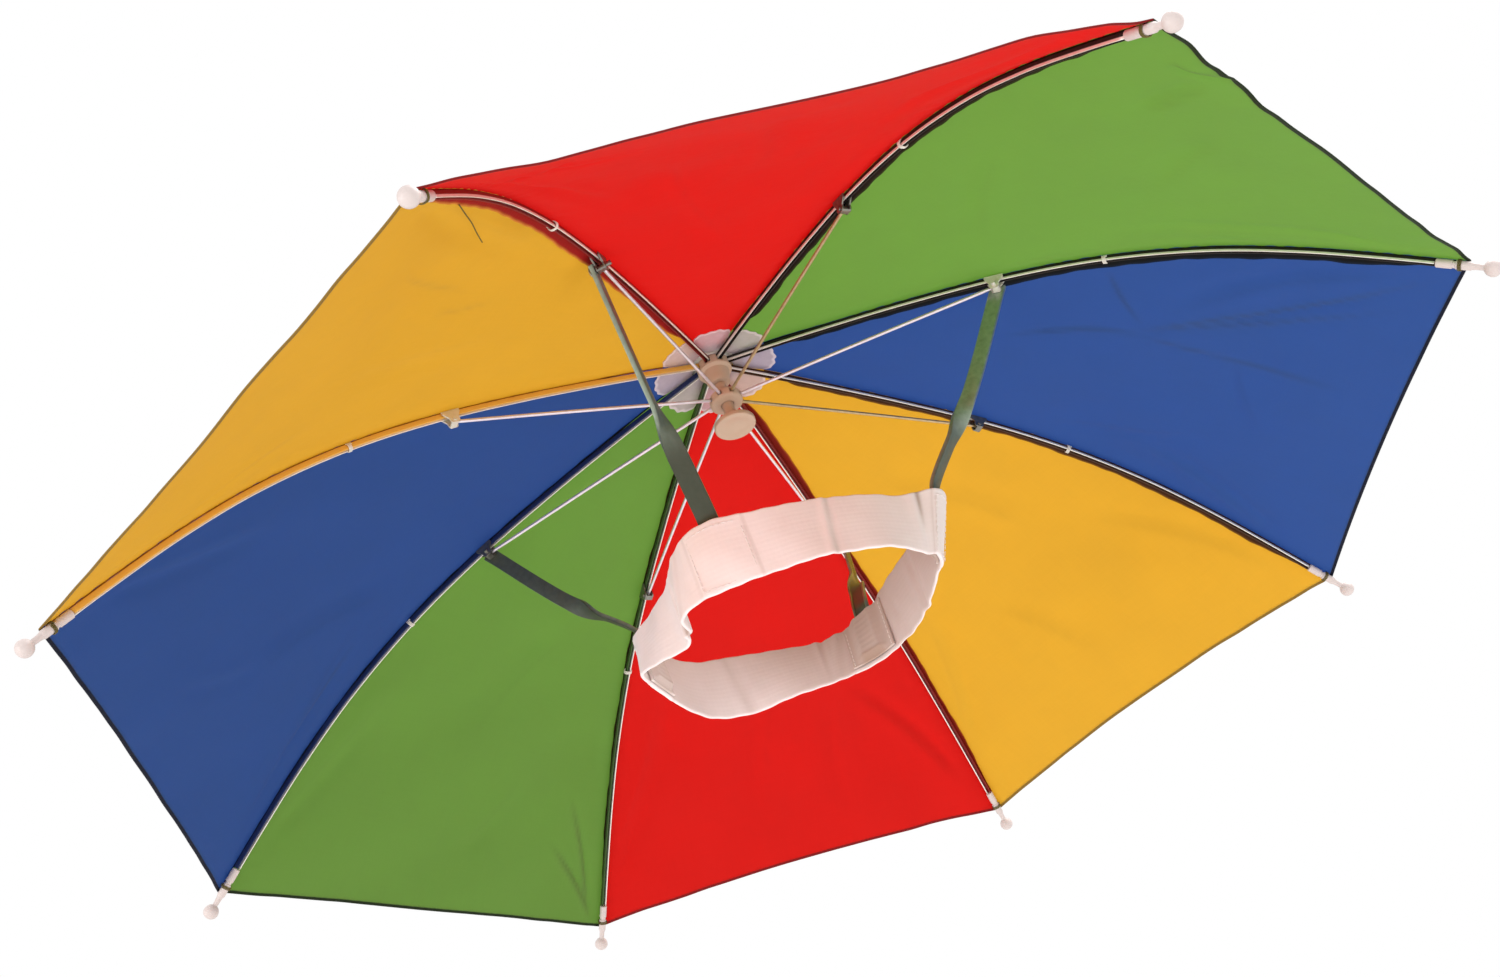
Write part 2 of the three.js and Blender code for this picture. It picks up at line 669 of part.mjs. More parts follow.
function runnerGeometry() {
  const bore = stemRadius + clearance;
  const [bottom, top] = [runnerMiddle - runnerHeight / 2, runnerMiddle + runnerHeight / 2];
  const body = toSolid(lathe([
    [bore, bottom],
    [runnerRadius - runnerChamfer, bottom],
    [runnerRadius, bottom + runnerChamfer],
    [runnerRadius, top - runnerChamfer],
    [bore + runnerLip, top],
    [bore, top],
    [bore, bottom],
  ], hubSides));
  const width = 2 * (stretcherRadius + clearance);
  const slots = slotSolids(width, runnerRadius - runnerSlotDepth, runnerRadius, width, runnerMiddle);
  return fromSolid(body.subtract(slots));
}

function endDiscGeometry() {
  const stemTop = notchBottom - neckHeight - clearance;
  return lathe([
    [0, discTop - endDiscHeight],
    [endDiscRadius - endDiscChamfer, discTop - endDiscHeight],
    [endDiscRadius, discTop - endDiscHeight + endDiscChamfer],
    [endDiscRadius, discTop - endDiscChamfer],
    [endDiscRadius - endDiscChamfer, discTop],
    [stemRadius, discTop],
    [stemRadius, stemTop],
    [0, stemTop],
  ], hubSides);
}

function capGeometry() {
  const rim = clothAt(shareAtReach(capRadius), 0, clothWall).z + clearance;
  const domeBase = canopyTop + clothLift;
  const dome = Array.from({ length: domeSteps }, (_, i) => {
    const turn = i / domeSteps * Math.PI / 2;
    return [capRadius * Math.cos(turn), domeBase + capHeight * Math.sin(turn)];
  });
  const plug = Math.min(notchRadius, canopyHoleRadius * Math.cos(ribTurn / 2) - 2 * clearance);
  return lathe([
    [0, notchTop + clearance],
    [plug, notchTop + clearance],
    [plug, canopyTop + clothLift + rosetteLift + clothWall],
    [capRadius, rim],
    ...dome,
    [0, domeBase + capHeight],
  ], hubSides);
}

// The assembly

const hat = new THREE.Group();
const panel = panelGeometry();
const rib = ribGeometry();
const tip = tipGeometry();
const stretcher = stretcherGeometry();

for (let i = 0; i < ribCount; i += 1) {
  const spoke = new THREE.Group();
  spoke.rotation.z = i * ribTurn;
  const carriesLeg = legs.some((leg) => leg.rib === i);
  const pinReach = carriesLeg ? 2 * (legSide + legDepth / 2) : clipOuterWidth + 2 * clipWall;
  spoke.add(
    mesh(`panel_${i + 1}`, panel, panelColours[i % panelColours.length]),
    mesh(`rib_${i + 1}`, rib, 'steel'),
    mesh(`tip_${i + 1}`, tip, 'whitePlastic'),
    mesh(`joint_clip_${i + 1}`, clipGeometry(pinReach), 'darkSteel'),
    mesh(`stretcher_${i + 1}`, stretcher, 'steel'),
  );
  hat.add(spoke);
}

legs.forEach((leg, i) => {
  const spoke = new THREE.Group();
  spoke.rotation.z = leg.rib * ribTurn;
  spoke.add(mesh(`leg_rivet_${i + 1}`, rivetGeometry(sideOfRib(leg)), 'steel'));
  hat.add(
    mesh(`leg_${i + 1}`, legGeometry(leg), 'darkSteel'),
    mesh(`pocket_${i + 1}`, pocketGeometry(leg), 'elastic'),
    spoke,
  );
});

hat.add(
  mesh('headband', bandGeometry(), 'elastic'),
  mesh('rosette', rosetteGeometry(), 'whiteCloth'),
  mesh('top_notch', notchGeometry(), 'tanPlastic'),
  mesh('runner', runnerGeometry(), 'tanPlastic'),
  mesh('end_disc', endDiscGeometry(), 'tanPlastic'),
  mesh('top_cap', capGeometry(), 'whitePlastic'),
);

export default hat;
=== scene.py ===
"""The finished look of an open umbrella hat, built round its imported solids.

Sizes are in millimetres, as in the part's source, and become metres where a mesh is made.
+Z runs up along the hat's axis, the origin is halfway up the headband, and rib 1 lies over +X.
"""

import math

import bpy
import numpy as np
from mathutils import Matrix, Vector


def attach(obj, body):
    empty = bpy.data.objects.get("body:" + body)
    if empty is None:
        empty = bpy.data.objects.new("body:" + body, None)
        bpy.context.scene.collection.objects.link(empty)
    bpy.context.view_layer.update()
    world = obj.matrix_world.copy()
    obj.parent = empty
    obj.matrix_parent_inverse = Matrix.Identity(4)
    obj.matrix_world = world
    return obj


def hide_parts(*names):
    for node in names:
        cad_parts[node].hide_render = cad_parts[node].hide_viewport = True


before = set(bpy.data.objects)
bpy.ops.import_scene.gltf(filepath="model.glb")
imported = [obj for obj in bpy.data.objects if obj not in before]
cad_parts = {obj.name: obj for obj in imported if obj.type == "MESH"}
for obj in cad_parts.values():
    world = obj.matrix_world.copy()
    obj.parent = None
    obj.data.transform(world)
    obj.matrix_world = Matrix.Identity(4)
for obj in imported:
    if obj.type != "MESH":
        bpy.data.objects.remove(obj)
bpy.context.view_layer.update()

MM = 0.001

# Sizes that repeat the part's own
CLEARANCE = 0.3
RIB_COUNT = 8
RIB_REACH = 285.0
CROWN_HEIGHT = 133.0
TIP_PLANE = -8.5
RIB_WIDTH = 2.1
RIB_DEPTH = 2.2
RIB_WALL = 0.5
CORNER_REACH = 279.0
HOLE_RADIUS = 9.5
CLOTH_SAG = 2.5
ROSETTE_REACH = 29.0
ROSETTE_NOTCH = 23.0
ROSETTE_WALL = 0.8
TIP_BALL = 3.2
TIP_NECK = 1.2
TIP_SLEEVE = 1.7
TIP_SLEEVE_START = 20.0
TIP_SLEEVE_END = 7.0
JOINT_REACH = 124.0
CLIP_WIDTH = 3.9
PIN_RADIUS = 0.9
WIRE_RADIUS = 0.7
LEG_WIDTH = 6.2
LEG_FOOT_WIDTH = 8.2
LEG_DEPTH = 1.8
LEG_WALL = 0.7
LEG_BOW = 3.0
LEG_HEAD = 2.6
LEG_FOOT_LIFT = 5.0
LEG_TWIST_START = 0.42
LEG_TWIST_END = 0.62
LEG_BOW_SHARE = 0.55
RIVET_RADIUS = 1.9
RIVET_HEIGHT = 0.9
BAND_HEIGHT = 29.0
BAND_REACH = 57.0
BAND_WALL = 1.6
POCKET_WALL = 1.0
POCKET_EASE = 0.3
NOTCH_RADIUS = 7.5
NOTCH_HEIGHT = 7.0
NOTCH_SLOT_DEPTH = 2.4
NOTCH_TAPER_SHARE = 0.35
STEM_RADIUS = 2.6
NECK_HEIGHT = 4.5
NECK_WALL = 1.0
RUNNER_RADIUS = 7.2
RUNNER_HEIGHT = 5.5
RUNNER_SLOT_DEPTH = 2.2
RUNNER_DROP = 21.0
DISC_RADIUS = 9.0
DISC_HEIGHT = 2.4
DISC_DROP = 36.0
CAP_RADIUS = 15.0
CAP_HEIGHT = 5.0

RIB_LINE = [
    (0.00, 1.000), (0.11, 0.950), (0.21, 0.900), (0.31, 0.845), (0.45, 0.755),
    (0.585, 0.640), (0.71, 0.495), (0.81, 0.345), (0.90, 0.187), (1.00, 0.000),
]

# Turn in degrees, the radii of the top and bottom edges as shares of BAND_REACH,
# and how far each edge strays, as shares of BAND_HEIGHT
BAND_LOOP = [
    (-12, 0.98, 0.90, 0.00, 0.00), (4, 0.89, 0.83, -0.07, 0.00), (22, 0.82, 0.82, -0.07, 0.00),
    (40, 0.81, 0.84, -0.07, 0.00), (60, 0.90, 0.91, -0.12, 0.00), (74, 1.00, 0.95, -0.15, 0.00),
    (80, 1.08, 0.96, -0.10, 0.00), (86, 1.18, 1.00, -0.05, 0.03), (95, 1.19, 0.99, 0.00, 0.03),
    (101, 1.11, 0.94, 0.00, 0.03), (112, 0.98, 0.90, 0.00, 0.03), (130, 0.90, 0.89, 0.00, 0.00),
    (148, 0.92, 0.90, 0.00, 0.00), (167, 1.03, 0.92, -0.07, 0.00), (188, 1.09, 0.91, -0.10, 0.00),
    (208, 1.11, 0.93, 0.00, 0.00), (226, 1.12, 1.07, 0.00, -0.03), (242, 1.16, 1.16, -0.07, -0.03),
    (252, 1.22, 1.16, 0.00, 0.03), (261, 1.24, 1.19, 0.07, 0.17), (270, 1.24, 1.22, 0.07, 0.28),
    (277, 1.17, 1.22, 0.00, 0.30), (284, 1.03, 1.14, 0.00, 0.20), (291, 0.96, 1.04, 0.00, 0.10),
    (302, 0.89, 0.88, 0.00, 0.00), (312, 0.90, 0.90, 0.00, 0.00), (324, 0.95, 1.02, 0.00, 0.00),
    (336, 1.00, 1.00, 0.00, 0.00),
]

# Rib, where its foot meets the band in degrees, and the width of its pocket
LEGS = [(0, -12.0, 24.0), (2, 90.5, 14.0), (4, 168.0, 24.0), (6, 265.5, 14.0)]

PANEL_COLOURS = ["red", "green", "blue", "yellow"]

TURN = 2 * math.pi / RIB_COUNT
CANOPY_TOP = TIP_PLANE + CROWN_HEIGHT
EDGE_STEEPNESS = 1.7
ROOF_SLOPE = math.tan(TURN / 2) * math.sin(math.atan2(CROWN_HEIGHT, RIB_REACH) * EDGE_STEEPNESS)
CLOTH_LIFT = (max(TIP_SLEEVE, RIB_DEPTH / 2) + CLEARANCE) * math.hypot(1, ROOF_SLOPE)
ROSETTE_LIFT = max(0.0, RIB_DEPTH / 2 + ROSETTE_WALL + 3 * CLEARANCE - CLOTH_LIFT)


# Curves and surfaces, on whole arrays of places at once

def unit(vectors):
    return vectors / np.linalg.norm(vectors, axis=-1, keepdims=True)


def smooth(value, low, high):
    share = np.clip((value - low) / (high - low), 0, 1)
    return share * share * (3 - 2 * share)


def turned(points, angle):
    cos, sin = math.cos(angle), math.sin(angle)
    return points @ np.array([[cos, sin, 0], [-sin, cos, 0], [0, 0, 1]])


def spline(points, closed):
    """A smooth line through the points, as the part's source draws it, walked from 0 to 1."""
    points = np.asarray(points, float)
    count = len(points)
    spans = count if closed else count - 1
    before, after = 2 * points[0] - points[1], 2 * points[-1] - points[-2]

    def knot(index):
        if closed:
            return points[index % count]
        inside = points[np.clip(index, 0, count - 1)]
        inside = np.where((index < 0)[:, None], before, inside)
        return np.where((index >= count)[:, None], after, inside)

    def at(where):
        where = np.atleast_1d(np.asarray(where, float))
        scaled = (where % 1 if closed else np.clip(where, 0, 1)) * spans
        index = np.minimum(np.floor(scaled).astype(int), spans - 1)
        w = (scaled - index)[:, None]
        p0, p1, p2, p3 = (knot(index + step) for step in (-1, 0, 1, 2))
        d0, d1, d2 = (
            np.sqrt(np.linalg.norm(b - a, axis=1, keepdims=True))
            for a, b in ((p0, p1), (p1, p2), (p2, p3))
        )
        t1 = ((p1 - p0) / d0 - (p2 - p0) / (d0 + d1) + (p2 - p1) / d1) * d1
        t2 = ((p2 - p1) / d1 - (p3 - p1) / (d1 + d2) + (p3 - p2) / d2) * d1
        return p1 + t1 * w + (3 * (p2 - p1) - 2 * t1 - t2) * w**2 + (2 * (p1 - p2) + t1 + t2) * w**3

    return at


def distances(places):
    """How far along a row of places each of them lies."""
    return np.r_[0, np.cumsum(np.linalg.norm(np.diff(places, axis=0), axis=1))]


def even(at, pieces):
    """The same line, walked at an even pace, and its length."""
    knots = np.linspace(0, 1, pieces + 1)
    walked = distances(at(knots))
    return (lambda share: at(np.interp(np.asarray(share) * walked[-1], walked, knots))), walked[-1]


rib_at, RIB_LENGTH = even(
    spline([(reach * RIB_REACH, 0, TIP_PLANE + rise * CROWN_HEIGHT) for reach, rise in RIB_LINE], False), 400
)
RIB_SHARES = np.linspace(0, 1, 4001)
RIB_REACHES = rib_at(RIB_SHARES)[:, 0]


def share_at_reach(reach):
    return np.interp(reach, RIB_REACHES, RIB_SHARES)


def rib_station(share):
    share = np.atleast_1d(np.asarray(share, float))
    step = 0.0004
    along = unit(rib_at(np.minimum(share + step, 1)) - rib_at(np.maximum(share - step, 0)))
    outward = np.stack([-along[:, 2], np.zeros(len(share)), along[:, 0]], axis=1)
    return rib_at(share), along, outward


HOLE_SHARE = float(share_at_reach(HOLE_RADIUS))
CORNER_SHARE = float(share_at_reach(CORNER_REACH))


def ridge(share):
    place, _, outward = rib_station(share)
    near = 1 - smooth(place[:, 0], ROSETTE_REACH, 2 * ROSETTE_REACH)
    return place + outward * (CLOTH_LIFT + ROSETTE_LIFT * near)[:, None]


def cloth(share, across):
    """The cloth's inner face, from across = 0 at rib 1 to 1 at rib 2."""
    left = ridge(share)
    right = turned(left, TURN)
    hollow = 4 * across * (1 - across) * np.sin(np.pi * share / CORNER_SHARE) * CLOTH_SAG
    middle = left + (right - left) * across[:, None]
    inward = unit(np.stack([middle[:, 0], middle[:, 1], np.full(len(middle), CROWN_HEIGHT)], axis=1))
    return middle - inward * hollow[:, None]


def cloth_normal(share, across):
    step = 0.002
    along = cloth(share + step, across) - cloth(share - step, across)
    sideways = cloth(share, across + step) - cloth(share, across - step)
    return unit(np.cross(along, sideways))


def over_grid(surface, share, across):
    """The cloth's places, or its normals, over a grid of any shape."""
    return surface(share.ravel(), across.ravel()).reshape(share.shape + (3,))


def ridge_span(share):
    """How far apart two neighbouring ridges stand."""
    left = ridge(share)
    return np.linalg.norm(turned(left, TURN) - left, axis=1)


# Meshes

def piece_from(name, points, faces, finish, uv, values, angle=35):
    """A smooth-shaded object from points in millimetres and four-sided faces, facing outwards."""
    faces = np.asarray(faces)
    points = np.asarray(points, float)
    a, b, c = (points[faces[:, corner]] for corner in (0, 1, 2))
    d = points[faces[:, -1]]
    volume = (a * (np.cross(b, c) + np.cross(c, d))).sum()
    if volume < 0:
        faces = faces[:, ::-1]
    mesh = bpy.data.meshes.new(name)
    mesh.from_pydata((points * MM).tolist(), [], faces.tolist())
    corners = np.asarray(uv)[faces.ravel()] * MM
    mesh.uv_layers.new(name="UVMap").data.foreach_set("uv", corners.astype(np.float32).ravel())
    made = bpy.data.objects.new(name, mesh)
    for key, amounts in values.items():
        marked(made, key, amounts)
    bpy.context.scene.collection.objects.link(made)
    mesh.materials.append(finish)
    shade(made, angle)
    return made


def named(made, name):
    """Gives a piece and its mesh the same name."""
    made.name = name
    made.data.name = name
    return made


def spots_of(made):
    """The places of a piece's vertices, in millimetres."""
    spots = np.empty(len(made.data.vertices) * 3)
    made.data.vertices.foreach_get("co", spots)
    return spots.reshape(-1, 3) / MM


def marked(made, key, amounts):
    """Writes a number for each vertex, over what the mesh had under that name."""
    layer = made.data.attributes.get(key) or made.data.attributes.new(key, "FLOAT", "POINT")
    layer.data.foreach_set("value", np.asarray(amounts, np.float32))


def choose(made):
    """Makes a piece the only one selected, for the operators."""
    bpy.ops.object.select_all(action="DESELECT")
    made.select_set(True)
    bpy.context.view_layer.objects.active = made


def shade(made, angle=35):
    choose(made)
    bpy.ops.object.shade_smooth_by_angle(angle=math.radians(angle))
    made.select_set(False)


def ring_faces(rings, sides, closed):
    """The faces between rings with as many corners each, where the last may meet the first."""
    steps = np.arange(rings if closed else rings - 1)
    ring, side = (places.ravel() for places in np.meshgrid(steps, np.arange(sides), indexing="ij"))
    onward = (side + 1) % sides
    here, ahead = ring * sides, (ring + 1) % rings * sides
    return np.stack([here + side, here + onward, ahead + onward, ahead + side], 1)


def shell_faces(rows, columns, closed):
    """The faces of a closed wall between two grids, inner first, whose columns may go round."""
    steps = columns if closed else columns - 1
    last, far = rows - 1, columns - 1
    edge, side = np.arange(steps), np.arange(last)
    ahead = (edge + 1) % columns
    row, column = (places.ravel() for places in np.meshgrid(side, edge, indexing="ij"))
    onward = (column + 1) % columns

    def faces(*corners):
        return np.stack([(layer * rows + r) * columns + c for layer, r, c in corners], 1)

    walls = [
        faces((0, row, column), (0, row, onward), (0, row + 1, onward), (0, row + 1, column)),
        faces((1, row, column), (1, row + 1, column), (1, row + 1, onward), (1, row, onward)),
        faces((0, 0, edge), (1, 0, edge), (1, 0, ahead), (0, 0, ahead)),
        faces((0, last, edge), (0, last, ahead), (1, last, ahead), (1, last, edge)),
    ]
    if not closed:
        walls += [
            faces((0, side, 0), (0, side + 1, 0), (1, side + 1, 0), (1, side, 0)),
            faces((0, side, far), (1, side, far), (1, side + 1, far), (0, side + 1, far)),
        ]
    return np.concatenate(walls)


def shell(name, inner, outer, finish, uv, values, closed=False):
    """A thin wall between an inner and an outer grid of places."""
    rows, columns = inner.shape[:2]
    points = np.concatenate([inner.reshape(-1, 3), outer.reshape(-1, 3)])
    doubled = {key: np.tile(np.asarray(amounts).ravel(), 2) for key, amounts in values.items()}
    flat = np.tile(uv.reshape(-1, 2), (2, 1))
    return piece_from(name, points, shell_faces(rows, columns, closed), finish, flat, doubled)


def swept(name, places, across, deep, outline, finish, scale=None, angle=35, values=None):
    """A bar whose outline, in millimetres across and deep, is carried along a row of places."""
    outline = np.asarray(outline, float)
    count, sides = len(places), len(outline)
    scale = np.ones(count) if scale is None else scale
    shape = (count, sides)
    spread = {key: np.broadcast_to(amounts, shape).ravel() for key, amounts in (values or {}).items()}
    x = outline[None, :, 0] * scale[:, None]
    rings = places[:, None] + across[:, None] * x[..., None] + deep[:, None] * outline[None, :, 1, None]
    uv = np.stack(np.broadcast_arrays(distances(outline)[None], distances(places)[:, None]), axis=-1)
    faces = ring_faces(count, sides, False)
    made = piece_from(name, rings.reshape(-1, 3), faces, finish, uv.reshape(-1, 2), spread, angle)
    cap_ends(made)
    return made


def cap_ends(made):
    choose(made)
    bpy.ops.object.mode_set(mode="EDIT")
    bpy.ops.mesh.select_all(action="DESELECT")
    bpy.ops.mesh.select_mode(type="EDGE")
    bpy.ops.mesh.select_non_manifold()
    bpy.ops.mesh.edge_face_add()
    bpy.ops.mesh.select_all(action="SELECT")
    bpy.ops.mesh.normals_make_consistent(inside=False)
    bpy.ops.object.mode_set(mode="OBJECT")
    made.select_set(False)


def arc(across, up, width, height, start, end, count):
    """Places on an ellipse round a middle, from one turn to another."""
    return [
        (across + width * math.cos(turn), up + height * math.sin(turn))
        for turn in np.linspace(start, end, count)
    ]


def round_outline(radius, sides):
    angles = np.arange(sides) * 2 * np.pi / sides
    return np.stack([np.cos(angles), np.sin(angles)], axis=1) * radius


def thread(name, places, radius, finish, sides=6):
    """A thin round thread or wire along a row of places."""
    along = unit(np.gradient(np.asarray(places, float), axis=0))
    straight = np.linalg.norm(along - along.mean(0), axis=1).max() < 0.5 and abs(along[0][2]) < 0.8
    lead = (0.0, 0.0, 1.0) if straight else (0.31, 0.91, 0.27)
    across = unit(np.cross(along, lead))
    for k in range(1, len(across)):
        carried = across[k - 1] - along[k] * (across[k - 1] @ along[k])
        across[k] = carried / np.linalg.norm(carried)
    outline = round_outline(radius, sides)
    return swept(name, places, across, np.cross(along, across), outline, finish, angle=60)


def joined(name, pieces):
    bpy.ops.object.select_all(action="DESELECT")
    for made in pieces:
        made.select_set(True)
    bpy.context.view_layer.objects.active = pieces[0]
    bpy.ops.object.join()
    pieces[0].select_set(False)
    return named(pieces[0], name)


def copied(source, name, matrix):
    made = source.copy()
    made.data = source.data.copy()
    bpy.context.scene.collection.objects.link(made)
    made.data.transform(matrix)
    return named(made, name)


def spoke(index):
    """The turn from rib 1 to another rib, counted from 0."""
    return Matrix.Rotation(index * TURN, 4, "Z")


def lathed(name, profile, sides, finish):
    """A disc, extruded and scaled ring by ring up its profile of radius and height in millimetres."""
    radius, height = profile[0]
    bpy.ops.object.select_all(action="DESELECT")
    bpy.ops.mesh.primitive_circle_add(
        vertices=sides, radius=radius * MM, fill_type="NGON", location=(0, 0, height * MM)
    )
    made = named(bpy.context.object, name)
    bpy.ops.object.transform_apply(location=True, rotation=True, scale=True)
    bpy.ops.object.mode_set(mode="EDIT")
    bpy.ops.mesh.select_all(action="SELECT")
    for new_radius, new_height in profile[1:]:
        bpy.ops.mesh.extrude_region_move(
            TRANSFORM_OT_translate={"value": (0, 0, (new_height - height) * MM), "orient_type": "GLOBAL"}
        )
        ratio = new_radius / radius
        bpy.ops.transform.resize(value=(ratio, ratio, 1), center_override=(0, 0, new_height * MM))
        radius, height = new_radius, new_height
    bpy.ops.mesh.select_all(action="SELECT")
    bpy.ops.mesh.normals_make_consistent(inside=False)
    bpy.ops.object.mode_set(mode="OBJECT")
    made.data.materials.append(finish)
    shade(made)
    return made


def carved(made, cutter, operation="DIFFERENCE"):
    """Cuts a piece with another, or to it, and removes the cutter."""
    choose(made)
    change = made.modifiers.new("carve", "BOOLEAN")
    change.operation = operation
    change.solver = "EXACT"
    change.object = cutter
    bpy.ops.object.modifier_apply(modifier=change.name)
    bpy.data.objects.remove(cutter)
    made.select_set(False)
    return made


def bevelled(made, width, angle):
    """Rounds the edges of a piece that are sharper than the angle."""
    choose(made)
    change = made.modifiers.new("edges", "BEVEL")
    change.width = width * MM
    change.segments = 2
    change.limit_method = "ANGLE"
    change.angle_limit = math.radians(angle)
    change.use_clamp_overlap = True
    bpy.ops.object.modifier_apply(modifier=change.name)
    shade(made, angle)
    return made


def block(name, size, place, turn):
    """A cutter: a box whose sizes and middle are in millimetres, then turned about the hat's axis."""
    bpy.ops.object.select_all(action="DESELECT")
    bpy.ops.mesh.primitive_cube_add(size=1)
    made = bpy.context.object
    made.name = name
    made.data.transform(Matrix.Diagonal((size[0] * MM, size[1] * MM, size[2] * MM, 1)))
    made.data.transform(Matrix.Translation(Vector(place) * MM))
    made.data.transform(Matrix.Rotation(turn, 4, "Z"))
    return made


def bar(name, radius, start, end, sides):
    """A cutter: a round bar between two places in millimetres."""
    start, end = Vector(start), Vector(end)
    bpy.ops.object.select_all(action="DESELECT")
    bpy.ops.mesh.primitive_cylinder_add(vertices=sides, radius=radius * MM, depth=(end - start).length * MM)
    made = bpy.context.object
    made.name = name
    made.data.transform((end - start).to_track_quat("Z", "Y").to_matrix().to_4x4())
    made.data.transform(Matrix.Translation((start + end) / 2 * MM))
    return made


def clean_copy(node, name, finish, width, angle):
    """A copy of a CAD solid with its corners merged and its edges rounded."""
    made = copied(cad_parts[node], name, Matrix.Identity(4))
    made.parent = None
    for key in list(made.keys()):
        del made[key]
    made.data.materials.clear()
    made.data.materials.append(finish)
    choose(made)
    bpy.ops.object.mode_set(mode="EDIT")
    bpy.ops.mesh.select_all(action="SELECT")
    bpy.ops.mesh.remove_doubles(threshold=0.01 * MM)
    bpy.ops.mesh.dissolve_limited(angle_limit=math.radians(2))
    bpy.ops.mesh.normals_make_consistent(inside=False)
    bpy.ops.object.mode_set(mode="OBJECT")
    return bevelled(made, width, angle)


# Finishes

def shown(red, green, blue):
    """A screen colour, 0 to 255, as the linear colour that a shader takes."""
    def linear(value):
        value /= 255
        return value / 12.92 if value <= 0.04045 else ((value + 0.055) / 1.055) ** 2.4

    return (linear(red), linear(green), linear(blue), 1)


class Value:
    """A number that changes over a surface. Sums on it add the Math nodes that it needs."""

    def __init__(self, finish, socket):
        self.finish = finish
        self.socket = socket

    def reckon(self, operation, first, second=0.0):
        return self.finish.node("ShaderNodeMath", {"operation": operation}, {0: first, 1: second})

    def __add__(self, other):
        return self.reckon("ADD", self, other)

    def __radd__(self, other):
        return self.reckon("ADD", other, self)

    def __sub__(self, other):
        return self.reckon("SUBTRACT", self, other)

    def __rsub__(self, other):
        return self.reckon("SUBTRACT", other, self)

    def __mul__(self, other):
        return self.reckon("MULTIPLY", self, other)

    def __rmul__(self, other):
        return self.reckon("MULTIPLY", other, self)

    def above(self, limit):
        return self.reckon("GREATER_THAN", self, limit)


class Finish:
    """A material, made node by node."""

    def __init__(self, name):
        self.material = bpy.data.materials.new(name)
        self.material.use_nodes = True
        self.tree = self.material.node_tree
        self.tree.nodes.clear()

    def node(self, kind, settings=None, inputs=None, out=0):
        made = self.tree.nodes.new(kind)
        for key, value in (settings or {}).items():
            setattr(made, key, value)
        for key, value in (inputs or {}).items():
            if isinstance(value, Value):
                self.tree.links.new(value.socket, made.inputs[key])
            else:
                made.inputs[key].default_value = value
        return Value(self, made.outputs[out])

    def where(self, kind="Object"):
        return self.node("ShaderNodeTexCoord", out=kind)

    def stretched(self, vector, scale, turn=0.0):
        inputs = {"Vector": vector, "Scale": scale, "Rotation": (0, 0, turn)}
        return self.node("ShaderNodeMapping", None, inputs)

    def noise(self, vector, scale, detail, roughness=0.5):
        inputs = {"Vector": vector, "Scale": scale, "Detail": detail, "Roughness": roughness}
        return self.node("ShaderNodeTexNoise", None, inputs)

    def waves(self, vector, scale, direction, distortion):
        settings = {"wave_type": "BANDS", "bands_direction": direction, "wave_profile": "SIN"}
        inputs = {"Vector": vector, "Scale": scale, "Distortion": distortion, "Detail": 1.0}
        return self.node("ShaderNodeTexWave", settings, inputs, "Fac")

    def amount(self, name):
        return self.node("ShaderNodeAttribute", {"attribute_name": name}, out="Fac")

    def blend(self, share, first, second):
        return self.node("ShaderNodeMix", {"data_type": "RGBA"}, {0: share, 6: first, 7: second}, 2)

    def bump(self, height, distance, strength, under=None):
        inputs = {"Height": height, "Distance": distance, "Strength": strength}
        if under:
            inputs["Normal"] = under
        return self.node("ShaderNodeBump", None, inputs)

    def surface(self, inputs):
        return self.node("ShaderNodeBsdfPrincipled", None, inputs)

    def shone_through(self, share, skin, colour):
        """A share of the light comes through the cloth, in its own colour."""
        glow = self.node("ShaderNodeBsdfTranslucent", None, {"Color": colour})
        return self.node("ShaderNodeMixShader", None, {0: share, 1: skin, 2: glow})

    def done(self, shader):
        output = self.tree.nodes.new("ShaderNodeOutputMaterial")
        self.tree.links.new(shader.socket, output.inputs["Surface"])
        return self.material


def darker(colour, share):
    return tuple(channel * share for channel in colour[:3]) + (1,)


# How much of a panel's light comes through it
CLOTH_GLOW = 0.62


def cloth_finish(name, colour, through, doubled):
    """Thin woven cloth that light shines through, less so where it is layered or creased, with painted shade
    in its creases and on its layered hem.
    """
    finish = Finish(name)
    uv = finish.where("UV")
    warp = finish.waves(uv, 1250, "X", 0.4)
    weft = finish.waves(uv, 1250, "Y", 0.4)
    slubs = finish.noise(finish.stretched(uv, (1, 0.06, 1)), 900, 3)
    cross_slubs = finish.noise(finish.stretched(uv, (0.06, 1, 1)), 900, 3)
    clouds = finish.noise(uv, 17, 4, 0.6)
    smudges = finish.noise(finish.stretched(uv, (1, 0.35, 1), 0.5), 60, 4, 0.65)
    layers = finish.amount("layers")
    crease_shade = finish.amount("crease_shade")
    streaks = (slubs + cross_slubs) * 0.5
    tone = finish.blend(streaks, darker(colour, 0.84), darker(colour, 1.12))
    tone = finish.blend(clouds * 0.5, tone, darker(colour, 0.74))
    # Painted shade: creases darken and let less light through
    tone = finish.blend(crease_shade * 0.5, tone, darker(colour, 0.5))
    # Painted shade: the layered hem takes its darker colour
    tone = finish.blend(layers, tone, doubled)
    crinkle = finish.noise(uv, 95, 4, 0.6)
    height = (warp * weft) * 0.25 + streaks * 0.35
    normal = finish.bump(crinkle, 0.0011, 0.4, finish.bump(height, 0.00006, 0.6))
    skin = finish.surface({
        "Base Color": tone, "Roughness": 0.55 + streaks * 0.2, "Specular IOR Level": 0.12,
        "Sheen Weight": 0.06, "Sheen Roughness": 0.4, "Normal": normal,
    })
    lit = CLOTH_GLOW * (1 - layers * 0.92) * (1 - crease_shade * 0.5) * (1.1 - clouds * 0.16 - smudges * 0.12)
    return finish.done(finish.shone_through(lit, skin, through))


